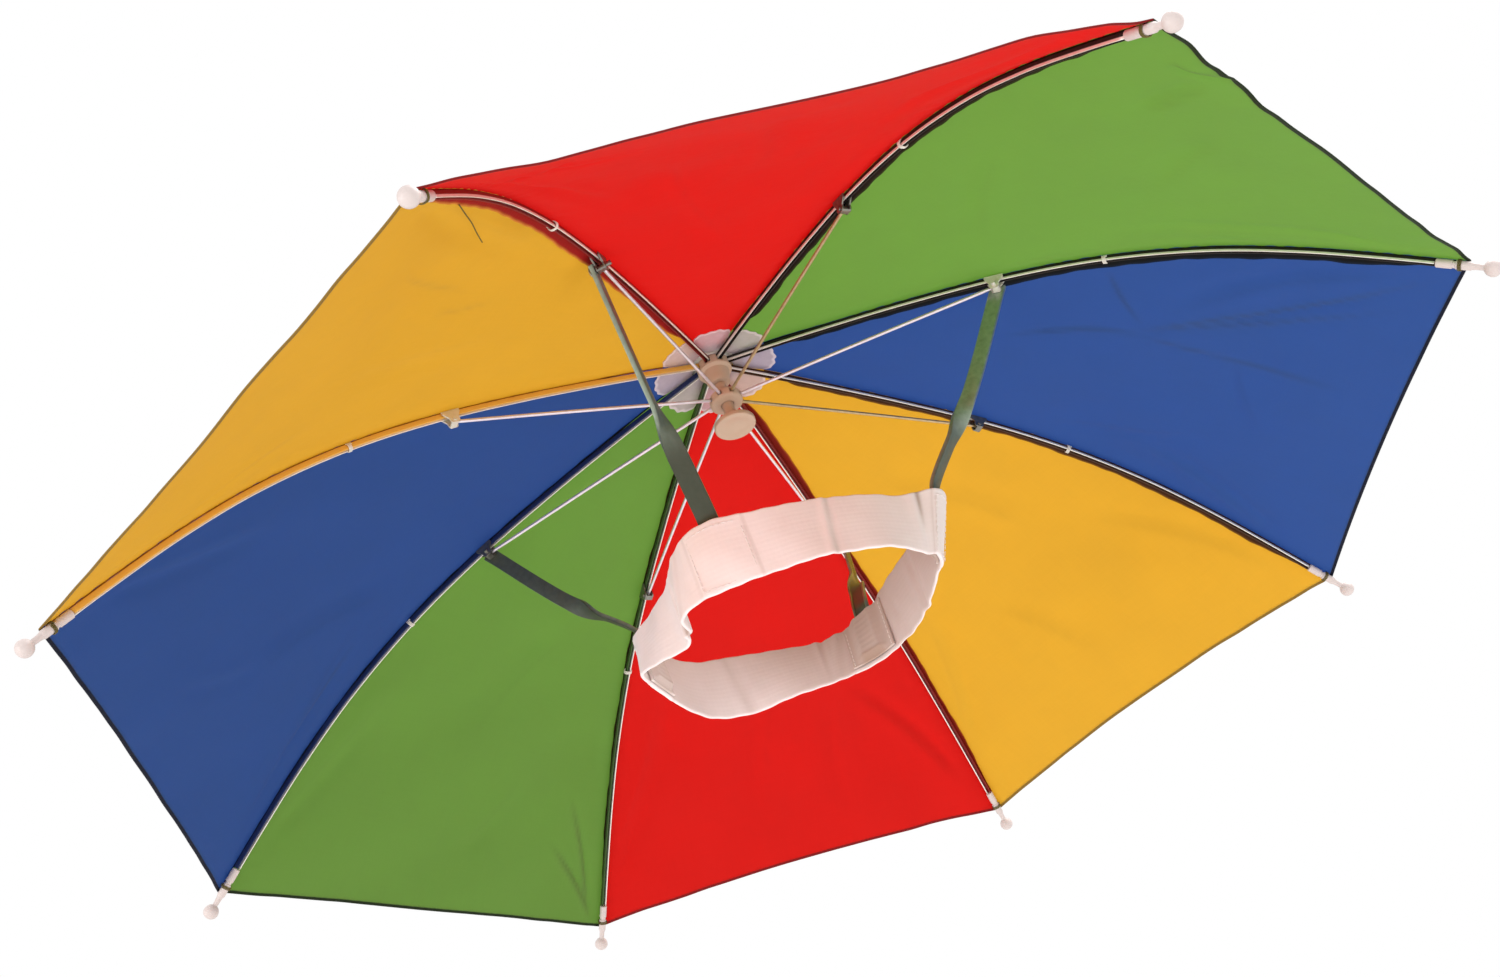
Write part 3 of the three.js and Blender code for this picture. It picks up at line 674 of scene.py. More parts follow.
def lawn_finish(name, colour, through, rim_colour):
    """Thin frosted cloth that the panels and the ribs behind it show through."""
    finish = Finish(name)
    uv = finish.where("UV")
    slubs = finish.noise(finish.stretched(uv, (1, 0.1, 1)), 1100, 3)
    clouds = finish.noise(uv, 120, 4, 0.65)
    rim = finish.amount("layers")
    tone = finish.blend(clouds, darker(colour, 0.82), darker(colour, 1.04))
    tone = finish.blend(rim, tone, rim_colour)
    skin = finish.surface({
        "Base Color": tone, "Roughness": 0.55 + slubs * 0.2, "Specular IOR Level": 0.2,
        "Alpha": 0.52 + clouds * 0.12 + rim * 0.2, "Normal": finish.bump(slubs + clouds * 2, 0.0001, 0.5),
    })
    return finish.done(finish.shone_through(0.1 + clouds * 0.1, skin, through))


def elastic_finish(name, colour, shade_colour, shade_tone):
    """Knitted elastic, with browner painted shade where its vertex attribute for it is high."""
    finish = Finish(name)
    uv = finish.where("UV")
    rows = finish.waves(uv, 82, "Y", 0.5)
    loops = finish.waves(uv, 150, "X", 1.2)
    fuzz = finish.noise(uv, 1600, 3)
    clouds = finish.noise(uv, 45, 4, 0.6)
    painted_shade = finish.amount("painted_shade")
    tone = finish.blend(clouds, darker(colour, 1.04), shade_colour)
    tone = finish.blend(rows * loops * 0.03, tone, darker(shade_colour, 0.8))
    # Painted shade in folds, along the pockets' edges and on the band's inner face
    tone = finish.blend(painted_shade, tone, shade_tone)
    height = rows * 0.2 + loops * 0.12 + fuzz * 0.5
    normal = finish.bump(height, 0.0001, 0.45)
    return finish.done(finish.surface({
        "Base Color": tone, "Roughness": 0.86 + fuzz * 0.1, "Specular IOR Level": 0.2,
        "Sheen Weight": 0.25, "Sheen Roughness": 0.5, "Normal": normal,
    }))


def steel_finish(name, light, dark, low, high, metal, reflection_colour=None):
    """Plated steel, with a painted reflection and shade colour, rougher and less metallic, where its vertex
    attribute for it is high.
    """
    finish = Finish(name)
    place = finish.where()
    spangle = finish.noise(place, 420, 3)
    wear = finish.noise(place, 1900, 4, 0.7)
    painted_reflection = finish.amount("painted_reflection")
    tone = finish.blend(spangle, dark, light)
    # Painted reflection and shade
    tone = finish.blend(painted_reflection, tone, reflection_colour or dark)
    normal = finish.bump(wear, 0.00002, 0.4)
    return finish.done(finish.surface({
        "Base Color": tone, "Metallic": metal * (1 - painted_reflection * 0.5),
        "Roughness": low + spangle * (high - low) + painted_reflection * 0.2, "Normal": normal,
    }))


def plastic_finish(name, colour, rough):
    """Moulded plastic, faintly clouded and scuffed."""
    finish = Finish(name)
    place = finish.where()
    clouds = finish.noise(place, 260, 3)
    grain = finish.noise(place, 3400, 3, 0.6)
    scuffs = finish.noise(finish.stretched(place, (300, 300, 60)), 6, 4, 0.7)
    tone = finish.blend(clouds, darker(colour, 0.93), darker(colour, 1.03))
    tone = finish.blend(scuffs.above(0.62) * 0.18, tone, darker(colour, 0.72))
    return finish.done(finish.surface({
        "Base Color": tone, "Roughness": rough + grain * 0.14, "Specular IOR Level": 0.45,
        "Coat Weight": 0.08, "Coat Roughness": 0.3, "Normal": finish.bump(grain, 0.00004, 0.5),
    }))


def thread_finish(name, colour):
    """Twisted thread."""
    finish = Finish(name)
    place = finish.where()
    plies = finish.noise(place, 5200, 2)
    tone = finish.blend(plies, darker(colour, 0.8), colour)
    return finish.done(finish.surface({
        "Base Color": tone, "Roughness": 0.75 + plies * 0.15, "Specular IOR Level": 0.25,
        "Normal": finish.bump(plies, 0.00008, 0.8),
    }))


# Each cloth's colour, the colour of the light that comes through it, and the darker colour of its hem,
# painted shade for the light that its layers hold back
CLOTHS = {
    "red": (shown(210, 42, 36), shown(234, 50, 42), shown(120, 20, 20)),
    "green": (shown(124, 152, 84), shown(158, 196, 110), shown(26, 36, 16)),
    "blue": (shown(66, 94, 140), shown(94, 132, 190), shown(14, 18, 34)),
    "yellow": (shown(216, 174, 66), shown(234, 200, 90), shown(130, 100, 40)),
}
cloths = {key: cloth_finish(f"{key}_cloth", *colours) for key, colours in CLOTHS.items()}
# The brown of the painted shade on the band and its pockets
PAINTED_SHADE_TONE = shown(160, 128, 110)
elastic = elastic_finish("white_elastic", shown(242, 229, 228), shown(229, 211, 208), PAINTED_SHADE_TONE)
patch_elastic = elastic_finish("white_patch", shown(236, 222, 218), shown(216, 198, 192), PAINTED_SHADE_TONE)
rosette_cloth = lawn_finish("white_lawn", shown(226, 208, 214), shown(240, 230, 236), shown(240, 228, 232))
# Painted reflection and shade on a rib's shaded wall: the colours of the folded seam and the cloth beside it
RIB_MIRRORS = {
    "red": shown(130, 22, 18), "dark": shown(30, 22, 18), "brown": shown(72, 44, 24),
    "yellow": shown(232, 184, 84), "blue": shown(30, 46, 92), "green": shown(62, 86, 40),
}
rib_steels = {
    key: steel_finish(f"{key}_channel", shown(250, 246, 240), shown(226, 220, 210), 0.34, 0.5, 0.5, painted_reflection)
    for key, painted_reflection in RIB_MIRRORS.items()
}
wire_steel = steel_finish("bright_wire", shown(240, 232, 240), shown(214, 206, 216), 0.28, 0.4, 0.7)
tan_wire_steel = steel_finish("tan_wire", shown(206, 182, 140), shown(160, 132, 92), 0.28, 0.4, 0.7)
clip_steel = steel_finish("pressed_clip", shown(150, 148, 140), shown(96, 94, 88), 0.3, 0.5, 0.8)
pale_clip_steel = steel_finish("pale_clip", shown(232, 228, 216), shown(206, 200, 184), 0.35, 0.5, 0.3)
# Leg steel, its colours tinted green as a painted reflection of the panels, with a dark olive for painted
# shade and reflection
leg_steel = steel_finish(
    "leg_strip", shown(178, 192, 176), shown(124, 140, 124), 0.26, 0.42, 0.75, shown(44, 44, 24)
)
rivet_steel = steel_finish("rivet", shown(206, 204, 198), shown(150, 148, 142), 0.25, 0.4, 0.8)
tip_plastic = plastic_finish("white_tip", shown(206, 192, 188), 0.36)
hub_plastic = plastic_finish("warm_hub", shown(200, 170, 146), 0.4)
cap_plastic = plastic_finish("white_cap", shown(238, 234, 228), 0.34)
white_thread = thread_finish("white_thread", shown(240, 234, 224))
seam_thread = thread_finish("worn_white_thread", shown(246, 234, 230))
dark_thread = thread_finish("olive_thread", shown(104, 92, 50))


def placed(made, slot, *nodes):
    """Fixes a piece to the hat in the place of the nodes it dresses, and hides those nodes. Its slot argument
    is not used.
    """
    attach(made, "root")
    if nodes:
        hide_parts(*nodes)
    return made


# The canopy's panels

PANEL_ROWS = 160
PANEL_COLUMNS = 96
HEM_WIDTH = 1.5
HEM_RISE = 0.4
CLOTH_THICK = 0.28
# How far from the edge of the hem the last rows of a panel lie
HEM_STEPS = [3.2, 1.8, HEM_WIDTH, 1.35, 0.9, 0.5, 0.2, 0.0]
# How far the middle of each panel's hem bows in from the line between its corners, in mm
HEM_BOWS = [3.0, 0.5, 3.0, 5.5, 4.5, 0.5, 2.0, 4.0]
PUCKER_LENGTH = 7.3
PUCKER_REACH = 6.0
PUCKER_DEPTH = 0.2
CREASE_GAIN = 1.5
CREASE_LINE = 1.2
# Creases narrower than this get a strong line of painted shade
SHARP_CREASE = 3.0
CREASE_SEED = 40

# Creases on a panel. Each starts and ends at a share of the rib's line and a share of the way across,
# and the last two numbers are its width and height in mm
CREASES = [
    [
        (0.90, 0.02, 0.55, 0.16, 4, 1.0), (0.84, 0.02, 0.80, 0.30, 3, 0.8),
        (0.90, 0.98, 0.62, 0.80, 5, 0.8), (0.72, 0.30, 0.30, 0.48, 7, 0.8),
        (0.80, 0.06, 0.86, 0.20, 2.5, 0.8), (0.60, 0.62, 0.86, 0.52, 6, 0.6),
    ],
    [
        (0.93, 0.13, 0.97, 0.22, 2.5, 1.6), (0.94, 0.20, 0.82, 0.24, 3.5, 1.0),
        (0.90, 0.97, 0.60, 0.76, 5, 0.8), (0.60, 0.20, 0.42, 0.70, 7, 0.6),
        (0.86, 0.40, 0.70, 0.60, 5, 0.5),
    ],
    [
        (0.61, 0.34, 0.96, 0.08, 1.4, 0.6), (0.61, 0.34, 0.93, 0.17, 1.4, 0.5),
        (0.62, 0.34, 0.42, 0.35, 1.4, 0.5), (0.61, 0.36, 0.90, 0.42, 1.4, 0.5),
        (0.55, 0.08, 0.61, 0.32, 1.4, 0.5), (0.74, 0.42, 0.80, 0.66, 3.4, 0.5),
        (0.90, 0.03, 0.60, 0.24, 5, 0.7), (0.90, 0.97, 0.62, 0.78, 4, 0.8),
        (0.52, 0.90, 0.76, 0.72, 3, 0.5),
    ],
    [
        (0.90, 0.03, 0.62, 0.20, 5, 0.4), (0.88, 0.98, 0.60, 0.80, 5, 0.7),
        (0.60, 0.30, 0.34, 0.55, 7, 0.6), (0.84, 0.50, 0.66, 0.64, 5, 0.5),
    ],
    [
        (0.90, 0.04, 0.66, 0.22, 4, 0.8), (0.90, 0.97, 0.58, 0.78, 5, 0.8),
        (0.62, 0.48, 0.86, 0.60, 6, 0.7), (0.70, 0.30, 0.92, 0.36, 5, 0.5),
    ],
    [
        (0.96, 0.04, 0.76, 0.13, 1.4, 0.7), (0.96, 0.03, 0.84, 0.18, 1.4, 0.7),
        (0.90, 0.97, 0.64, 0.82, 5, 0.7), (0.50, 0.40, 0.72, 0.62, 8, 0.6),
        (0.88, 0.44, 0.76, 0.30, 4, 0.6),
    ],
    [
        (0.90, 0.04, 0.60, 0.20, 5, 0.8), (0.90, 0.97, 0.66, 0.80, 4, 0.8),
        (0.56, 0.30, 0.80, 0.50, 7, 0.6), (0.80, 0.08, 0.62, 0.14, 2.5, 0.6),
        (0.88, 0.60, 0.76, 0.40, 4, 0.5),
    ],
    [
        (0.90, 0.97, 0.52, 0.84, 5, 1.0), (0.90, 0.03, 0.66, 0.22, 5, 0.7),
        (0.78, 0.77, 0.58, 0.68, 1.4, 0.3), (0.62, 0.61, 0.52, 0.66, 1.4, 0.3),
        (0.70, 0.40, 0.44, 0.46, 6, 0.5),
    ],
]
# How much a panel's hem waves, in mm, near its first and its second corner
HEM_WAVES = [(0.2, 0.2), (0.9, 0.3), (0.3, 0.3), (0.3, 0.3), (0.3, 0.3), (0.4, 0.3), (0.3, 0.4), (0.12, 0.12)]
# The panel whose cloth stands out near its hem, where it does so, and by what rise and width in mm
FLARE_PANEL = 0
FLARE_PLACE = (0.94, 0.86)
FLARE_RISE = 3.4
FLARE_WIDTH = 26.0
SEAM_GAP = 0.03
PANEL_SPAN = float(ridge_span(np.array([CORNER_SHARE]))[0])


class PanelGrid:
    """Rows from the hole to the hem and columns from rib to rib, closest at the seams and the hem."""

    def __init__(self, bow):
        column = np.arange(PANEL_COLUMNS + 1) / PANEL_COLUMNS
        across = 0.5 - 0.5 * np.cos(np.pi * column)
        hem = CORNER_SHARE - 4 * across * (1 - across) * bow / RIB_LENGTH
        body_end = hem - HEM_STEPS[0] / RIB_LENGTH
        rows = np.linspace(0, 1, PANEL_ROWS, endpoint=False)
        body = HOLE_SHARE + rows[:, None] * (body_end - HOLE_SHARE)[None]
        edge = hem[None] - np.array(HEM_STEPS)[:, None] / RIB_LENGTH
        self.share = np.concatenate([body, edge])
        self.to_hem = (hem[None] - self.share) * RIB_LENGTH
        self.span = ridge_span(self.share.ravel()).reshape(self.share.shape)
        self.across = SEAM_GAP / self.span + across * (1 - 2 * SEAM_GAP / self.span)
        self.base = over_grid(cloth, self.share, self.across)
        self.normal = over_grid(cloth_normal, self.share, self.across)
        self.flat = np.stack([(self.across - 0.5) * self.span, self.share * RIB_LENGTH], axis=-1)
        self.seam_distance = np.minimum(self.across, 1 - self.across) * self.span
        down = self.base[1:, :-1] - self.base[:-1, :-1]
        aside = self.base[:-1, 1:] - self.base[:-1, :-1]
        self.area = float(np.linalg.norm(np.cross(down, aside), axis=-1).sum()) * MM * MM


def flat_place(share, across):
    """Where a place on a panel lies when the cloth is spread out flat, in mm."""
    return np.array([(across - 0.5) * ridge_span(np.array([share]))[0], share * RIB_LENGTH])


def creased(grid, index):
    """How far each place on a panel stands off the smooth cloth, in mm, and how much painted shade it gets
    from a crease.
    """
    rng = np.random.default_rng(CREASE_SEED + index)
    held = smooth(grid.seam_distance, 3.0, 13.0) * smooth(grid.share * RIB_LENGTH, 32, 60)
    flat = grid.flat
    height = np.zeros(grid.share.shape)
    depth = np.zeros(grid.share.shape)
    for _ in range(9):
        angle = rng.uniform(0, np.pi)
        length = rng.uniform(34, 90)
        phase = rng.uniform(0, 2 * np.pi)
        wave = (flat[..., 0] * math.cos(angle) + flat[..., 1] * math.sin(angle)) * 2 * np.pi / length
        height += np.sin(wave + phase) * 0.16 * (length / 60)
    for start_share, start_across, end_share, end_across, width, rise in CREASES[index]:
        start, end = flat_place(start_share, start_across), flat_place(end_share, end_across)
        length = np.linalg.norm(end - start)
        way = (end - start) / length
        offset = flat - start
        along = offset @ way / length
        aside = offset @ np.array([-way[1], way[0]]) + 0.03 * length * np.sin(along * 4.0)
        taper = smooth(along, -0.05, 0.2) * (1 - smooth(along, 0.6, 1.05))
        crest = np.exp(-((aside / width) ** 2))
        valley = np.exp(-(((aside - 1.5 * width) / width) ** 2))
        height += rise * CREASE_GAIN * taper * (crest - 0.55 * valley)
        # A line of painted shade along the crease
        line = np.exp(-(((aside - 1.1 * width) / CREASE_LINE) ** 2))
        line_shade = 0.85 if width < SHARP_CREASE else 0.15
        depth = np.maximum(depth, taper * line * line_shade * min(1.4 * rise, 1.0))
    if index == FLARE_PANEL:
        away = np.linalg.norm(flat - flat_place(*FLARE_PLACE), axis=-1)
        height += FLARE_RISE * np.exp(-((away / FLARE_WIDTH) ** 2))
    first, second = HEM_WAVES[index]
    near_hem = 1 - smooth(grid.to_hem, 0, 26)
    round_way = flat[..., 0] * 2 * np.pi
    swing = np.sin(round_way / 31 + index) + 0.4 * np.sin(round_way / 17 + 2 * index)
    sway = first * (1 - smooth(grid.across, 0.15, 0.5)) + second * smooth(grid.across, 0.5, 0.85)
    return (height + near_hem * swing * sway * 0.7) * held, depth * held


def puckers(grid, index):
    """Small ripples that the seam's stitches draw up beside both ribs of a panel."""
    total = np.zeros(grid.share.shape)
    run = grid.share * RIB_LENGTH
    sides = ((index, grid.across * grid.span), ((index + 1) % RIB_COUNT, (1 - grid.across) * grid.span))
    for rib_index, distance in sides:
        wave = np.sin(run * 2 * np.pi / PUCKER_LENGTH + rib_index * 1.7)
        drift = 0.6 + 0.4 * np.sin(run * 2 * np.pi / 41 + rib_index)
        total += wave * drift * np.exp(-distance / PUCKER_REACH) * PUCKER_DEPTH
    return total * smooth(run, 30, 60)


def panel_piece(index):
    """A panel with its rolled hem, and the area of its cloth."""
    grid = PanelGrid(HEM_BOWS[index])
    lift, depth = creased(grid, index)
    lift = lift + puckers(grid, index)
    hem = 1 - smooth(grid.to_hem, HEM_WIDTH - 0.1, HEM_WIDTH + 0.1)
    rounded = np.sqrt(np.clip(1 - (1 - np.clip(grid.to_hem / 0.4, 0, 1)) ** 2, 0.05, 1))
    middle = 0.15 + hem * 0.1
    half = (CLOTH_THICK / 2 + hem * (HEM_RISE / 2)) * (rounded * hem + 1 - hem)
    inner = grid.base + grid.normal * (lift + middle - half)[..., None]
    outer = grid.base + grid.normal * (lift + middle + half)[..., None]
    angle = index * TURN
    colour = PANEL_COLOURS[index % 4]
    made = shell(
        f"panel_cloth_{index + 1}", turned(inner, angle), turned(outer, angle), cloths[colour],
        grid.flat, {"layers": hem, "crease_shade": depth},
    )
    return placed(made, f"panel_{colour}", f"panel_{index + 1}"), grid.area


# The folded seam beside each rib: rib, which panel it lies on and from which side, its reach in mm
# near the hub and near the tip, the colour that light gives it through its layers, and its free edge
SEAM_FLAPS = [
    (0, 7, 1, 4.6, 6.2, shown(150, 22, 18), shown(226, 150, 60)),
    (1, 1, 0, 5.2, 5.6, shown(30, 14, 10), shown(60, 70, 30)),
    (2, 2, 0, 5.6, 6.4, shown(8, 10, 12), shown(24, 36, 56)),
    (3, 3, 0, 4.6, 4.6, shown(66, 36, 14), shown(150, 100, 40)),
    (4, 3, 1, 5.0, 3.2, shown(130, 30, 18), shown(190, 110, 40)),
    (5, 5, 0, 1.8, 1.8, shown(44, 34, 16), shown(60, 76, 36)),
    (6, 6, 0, 2.0, 1.6, shown(10, 14, 22), shown(24, 40, 76)),
    (7, 7, 0, 1.2, 0.9, shown(110, 64, 20), shown(170, 112, 34)),
]
FLAP_STEPS = np.array([0.0, 0.3, 0.6, 0.8, 0.9, 0.96, 1.0])
FLAP_ROWS = 220
# How far a flap's two faces lie below the panel's inner face
FLAP_DEPTHS = (0.34, 0.08)


def flap_finish(name, colour, rim_colour):
    """Folded cloth, in another colour where the attribute called rim is high."""
    finish = Finish(name)
    uv = finish.where("UV")
    slubs = finish.noise(finish.stretched(uv, (1, 0.1, 1)), 900, 3)
    stitches = finish.waves(uv, 130, "Y", 0.2)
    tone = finish.blend(slubs, darker(colour, 0.75), darker(colour, 1.25))
    tone = finish.blend(finish.amount("rim") * 0.7, tone, rim_colour)
    normal = finish.bump(slubs + stitches * 0.3, 0.0001, 0.6)
    return finish.done(finish.surface({
        "Base Color": tone, "Roughness": 0.6 + slubs * 0.2, "Specular IOR Level": 0.12, "Normal": normal,
    }))


def flap_piece(index, panel, side, near_hub, near_tip, colour, rim_colour):
    """The edges of two panels, folded together beside a rib."""
    share = np.linspace(share_at_reach(ROSETTE_NOTCH + 1), CORNER_SHARE - 3 / RIB_LENGTH, FLAP_ROWS)
    span = ridge_span(share)[:, None]
    along = np.linspace(0, 1, FLAP_ROWS)
    run = share * RIB_LENGTH * 2 * np.pi
    wander = 0.25 * np.sin(run / 47 + index) + 0.12 * np.sin(run / 11 + 3 * index)
    reach = near_hub + (near_tip - near_hub) * smooth(along, 0, 0.5) + wander
    reach *= (0.35 + 0.65 * smooth(along, 0, 0.08)) * (1 - 0.5 * smooth(along, 0.86, 1.0))
    distance = FLAP_STEPS[None] * reach[:, None] + SEAM_GAP
    across = distance / span if side == 0 else 1 - distance / span
    shares = np.broadcast_to(share[:, None], across.shape)
    base = over_grid(cloth, shares, across)
    normal = over_grid(cloth_normal, shares, across)
    curl = 0.35 * FLAP_STEPS[None] ** 6 * (1 + 0.5 * np.sin(run / 19)[:, None])
    inner, outer = (base - normal * (depth + curl)[..., None] for depth in FLAP_DEPTHS)
    uv = np.stack([distance, shares * RIB_LENGTH], axis=-1)
    rim = np.broadcast_to(smooth(FLAP_STEPS, 0.86, 0.95), across.shape)
    finish = flap_finish(f"seam_{index + 1}_cloth", colour, rim_colour)
    walls = turned(inner, panel * TURN), turned(outer, panel * TURN)
    made = shell(f"seam_flap_{index + 1}", *walls, finish, uv, {"rim": rim})
    return placed(made, f"panel_{PANEL_COLOURS[panel % 4]}")


flaps = [(row[1], flap_piece(*row)) for row in SEAM_FLAPS]
for k in range(RIB_COUNT):
    panel, panel_area = panel_piece(k)
    on_it = [flap for lies_on, flap in flaps if lies_on == k]


# The rosette

# How much deeper the rosette's notches are than the solid's
ROSETTE_DIP = 2.5
ROSETTE_COLUMNS = 36
ROSETTE_RINGS = 22
# How far the rosette's two faces lie below the canopy, and how much its hem adds to each
ROSETTE_FACES = ((0.72, 0.08), (0.42, -0.04))


def rosette_piece():
    """A scalloped disc, one lobe to each panel."""
    column = np.arange(ROSETTE_COLUMNS) / ROSETTE_COLUMNS
    lobe = np.sin(np.pi * column) ** 0.5 - 0.35 * np.exp(-((np.minimum(column, 1 - column) / 0.05) ** 2))
    lobe = lobe + 0.05 * np.sin(column * 2 * np.pi * 5) * np.sin(np.pi * column)
    valley = ROSETTE_NOTCH - ROSETTE_DIP
    edge = share_at_reach(valley + (ROSETTE_REACH - valley) * lobe)
    ring = np.linspace(0, 1, ROSETTE_RINGS)
    share = HOLE_SHARE + ring[:, None] * (edge - HOLE_SHARE)[None]
    across = np.broadcast_to(column, share.shape)
    place = over_grid(cloth, share, across)
    rim = smooth(ring, 0.9, 0.97)[:, None] * np.ones(ROSETTE_COLUMNS)
    flutter = 0.16 * np.sin(column * 2 * np.pi * 3) * ring[:, None] ** 2
    faces = []
    for depth, hem_depth in ROSETTE_FACES:
        lowered = place.copy()
        lowered[..., 2] -= depth + flutter + rim * hem_depth
        faces.append(np.concatenate([turned(lowered, k * TURN) for k in range(RIB_COUNT)], axis=1))
    flat = np.stack([faces[0][..., 0], faces[0][..., 1]], axis=-1)
    made = shell(
        "rosette_disc", *faces, rosette_cloth, flat, {"layers": np.tile(rim, (1, RIB_COUNT))}, closed=True
    )
    return placed(made, "rosette_cloth", "rosette")


rosette = rosette_piece()


# Ribs, tips, stretchers and clips

def channel_outline(width, depth, wall, edge):
    """A web with two walls that stand towards +y, its corners rounded by edge."""
    half, low, high = width / 2, -depth / 2, depth / 2
    corners = [
        (-half, low), (half, low), (half, high), (half - wall, high),
        (half - wall, low + wall), (-half + wall, low + wall), (-half + wall, high), (-half, high),
    ]
    corners = np.array(corners)
    rounded = []
    for k, corner in enumerate(corners):
        before = unit(corners[k - 1] - corner)
        after = unit(corners[(k + 1) % len(corners)] - corner)
        rounded += [corner + before * edge, corner + (before + after) * edge * 0.29, corner + after * edge]
    return np.array(rounded)


# Which painted reflection of RIB_MIRRORS each rib shows
RIB_MIRRORED = ("red", "dark", "dark", "brown", "red", "green", "blue", "yellow")
# Where a rib's wall with the painted highlight gives way to painted shade, as shares of its depth from its
# middle
RIB_BRIGHT_EDGE = (0.05, 0.15)
# The stretchers that look tan, and the clips that look pale
TAN_WIRES = (1, 3)
PALE_CLIPS = (2, 7)


def rib_piece(name, shaded_side, finish):
    """A rib along +X, with a painted highlight on one wall and painted shade and reflection inside and on the
    wall that lies by the folded seam.
    """
    start = share_at_reach(NOTCH_RADIUS - NOTCH_SLOT_DEPTH + CLEARANCE)
    end = 1 - (TIP_SLEEVE_START + CLEARANCE) / RIB_LENGTH
    share = np.linspace(start, end, 110)
    place, _, outward = rib_station(share)
    sideways = np.tile([0.0, 1.0, 0.0], (len(share), 1))
    outline = channel_outline(RIB_WIDTH, RIB_DEPTH, RIB_WALL, 0.14).tolist()
    wall = [(RIB_WIDTH / 2, RIB_DEPTH * height) for height in RIB_BRIGHT_EDGE]
    other_wall = [(-across, up) for across, up in reversed(wall)]
    outline = np.array(outline[:6] + wall + outline[6:] + other_wall)
    across, up = outline[:, 0] * shaded_side, outline[:, 1]
    # The painted highlight: the outer face of the wall away from the seam
    bright = (across < -RIB_WIDTH / 2 + 1.5 * RIB_WALL) & (up > RIB_DEPTH * np.mean(RIB_BRIGHT_EDGE))
    return swept(name, place, sideways, -outward, outline, finish, angle=40, values={"painted_reflection": 1.0 - bright})


for k in range(RIB_COUNT):
    rib = rib_piece(f"rib_channel_{k + 1}", -1 if SEAM_FLAPS[k][2] else 1, rib_steels[RIB_MIRRORED[k]])
    rib.data.transform(spoke(k))
    placed(rib, "rib_steel", f"rib_{k + 1}")


# Where the groove round a tip's sleeve starts and ends, from the ball's middle, and its depth, in mm
TIP_GROOVE = (-13.9, -13.1)
TIP_GROOVE_DEPTH = 0.35


def tip_piece():
    """A grooved sleeve, a neck and a ball, lathed upright and laid along rib 1."""
    neck_turn = math.asin(TIP_NECK / TIP_BALL) - math.pi / 2
    ball = [
        (TIP_BALL * math.cos(turn) * (1 + 0.07 * math.sin(turn)), TIP_BALL * math.sin(turn))
        for turn in np.linspace(neck_turn, math.pi / 2 - 0.12, 16)
    ]
    groove = TIP_SLEEVE - TIP_GROOVE_DEPTH
    start, end = TIP_GROOVE
    profile = [
        (TIP_SLEEVE - 0.3, -TIP_SLEEVE_START), (TIP_SLEEVE, -TIP_SLEEVE_START + 0.3),
        (TIP_SLEEVE, start - 0.3), (groove, start), (groove, end), (TIP_SLEEVE, end + 0.3),
        (TIP_SLEEVE, -TIP_SLEEVE_END - 0.5), (TIP_SLEEVE - 0.3, -TIP_SLEEVE_END),
        (TIP_NECK + 0.1, -TIP_SLEEVE_END + 0.5), (TIP_NECK, -TIP_SLEEVE_END + 1.2), *ball,
    ]
    made = lathed("tip_ball_1", profile, 32, tip_plastic)
    place, along, _ = rib_station(1.0)
    turn = Vector(along[0]).to_track_quat("Z", "Y").to_matrix().to_4x4()
    made.data.transform(Matrix.Translation(Vector(place[0]) * MM) @ turn)
    return made


tip = tip_piece()
placed(tip, "tip_plastic", "tip_1")
for k in range(1, RIB_COUNT):
    placed(copied(tip, f"tip_ball_{k + 1}", spoke(k)), "tip_plastic", f"tip_{k + 1}")

joint_place, joint_along, joint_outward = (row[0] for row in rib_station(share_at_reach(JOINT_REACH)))
PIN_DROP = max(LEG_WIDTH, RIB_DEPTH + 2 * max(PIN_RADIUS, WIRE_RADIUS)) / 2 + CLEARANCE
PIN = joint_place - joint_outward * PIN_DROP
LEG_SIDE = CLIP_WIDTH / 2 + CLEARANCE + LEG_DEPTH / 2
RUNNER_MIDDLE = CANOPY_TOP - RUNNER_DROP
CLIP_NOSE = 2.2
CLIP_REACH = 4.2


def stretcher_piece():
    """A slightly bowed wire from the runner's slot to the clip's pin."""
    inner = np.array([RUNNER_RADIUS - RUNNER_SLOT_DEPTH + CLEARANCE, 0, RUNNER_MIDDLE])
    way = unit(PIN - inner)
    outer = PIN - way * (PIN_RADIUS + CLEARANCE)
    step = np.linspace(0, 1, 41)[:, None]
    bow = np.sin(np.pi * step) * 0.5
    places = inner + (outer - inner) * step + np.array([-way[2], 0, way[0]]) * bow * 0.6
    return thread("stretcher_wire_1", places, WIRE_RADIUS, wire_steel, 14)


stretcher = stretcher_piece()
placed(stretcher, "stretcher_wire", "stretcher_1")
for k in range(1, RIB_COUNT):
    wire = copied(stretcher, f"stretcher_wire_{k + 1}", spoke(k))
    wire.data.materials[0] = tan_wire_steel if k in TAN_WIRES else wire_steel
    placed(wire, "stretcher_wire", f"stretcher_{k + 1}")


def clip_piece(index):
    """A clip's solid, its cheeks trimmed round the cross pin."""
    node = f"joint_clip_{index + 1}"
    finish = pale_clip_steel if index in PALE_CLIPS else clip_steel
    made = clean_copy(node, f"fork_clip_{index + 1}", finish, 0.13, 25)
    nose = arc(0, -PIN_DROP, CLIP_NOSE, CLIP_NOSE, math.radians(20), math.radians(-200), 14)
    back = [(-CLIP_REACH, 0.2), (-CLIP_REACH, CLIP_REACH), (CLIP_REACH, CLIP_REACH), (CLIP_REACH, 0.2)]
    sideways = np.array([0, 1.5 * CLIP_WIDTH, 0])
    places = np.stack([joint_place - sideways, joint_place + sideways])
    across, deep = np.tile(joint_along, (2, 1)), np.tile(joint_outward, (2, 1))
    cutter = swept("clip_shape", places, across, deep, back + nose, clip_steel)
    cutter.data.transform(spoke(index))
    carved(made, cutter, "INTERSECT")
    shade(made, 30)
    return placed(made, "clip_steel", node)


for k in range(RIB_COUNT):
    clip_piece(k)
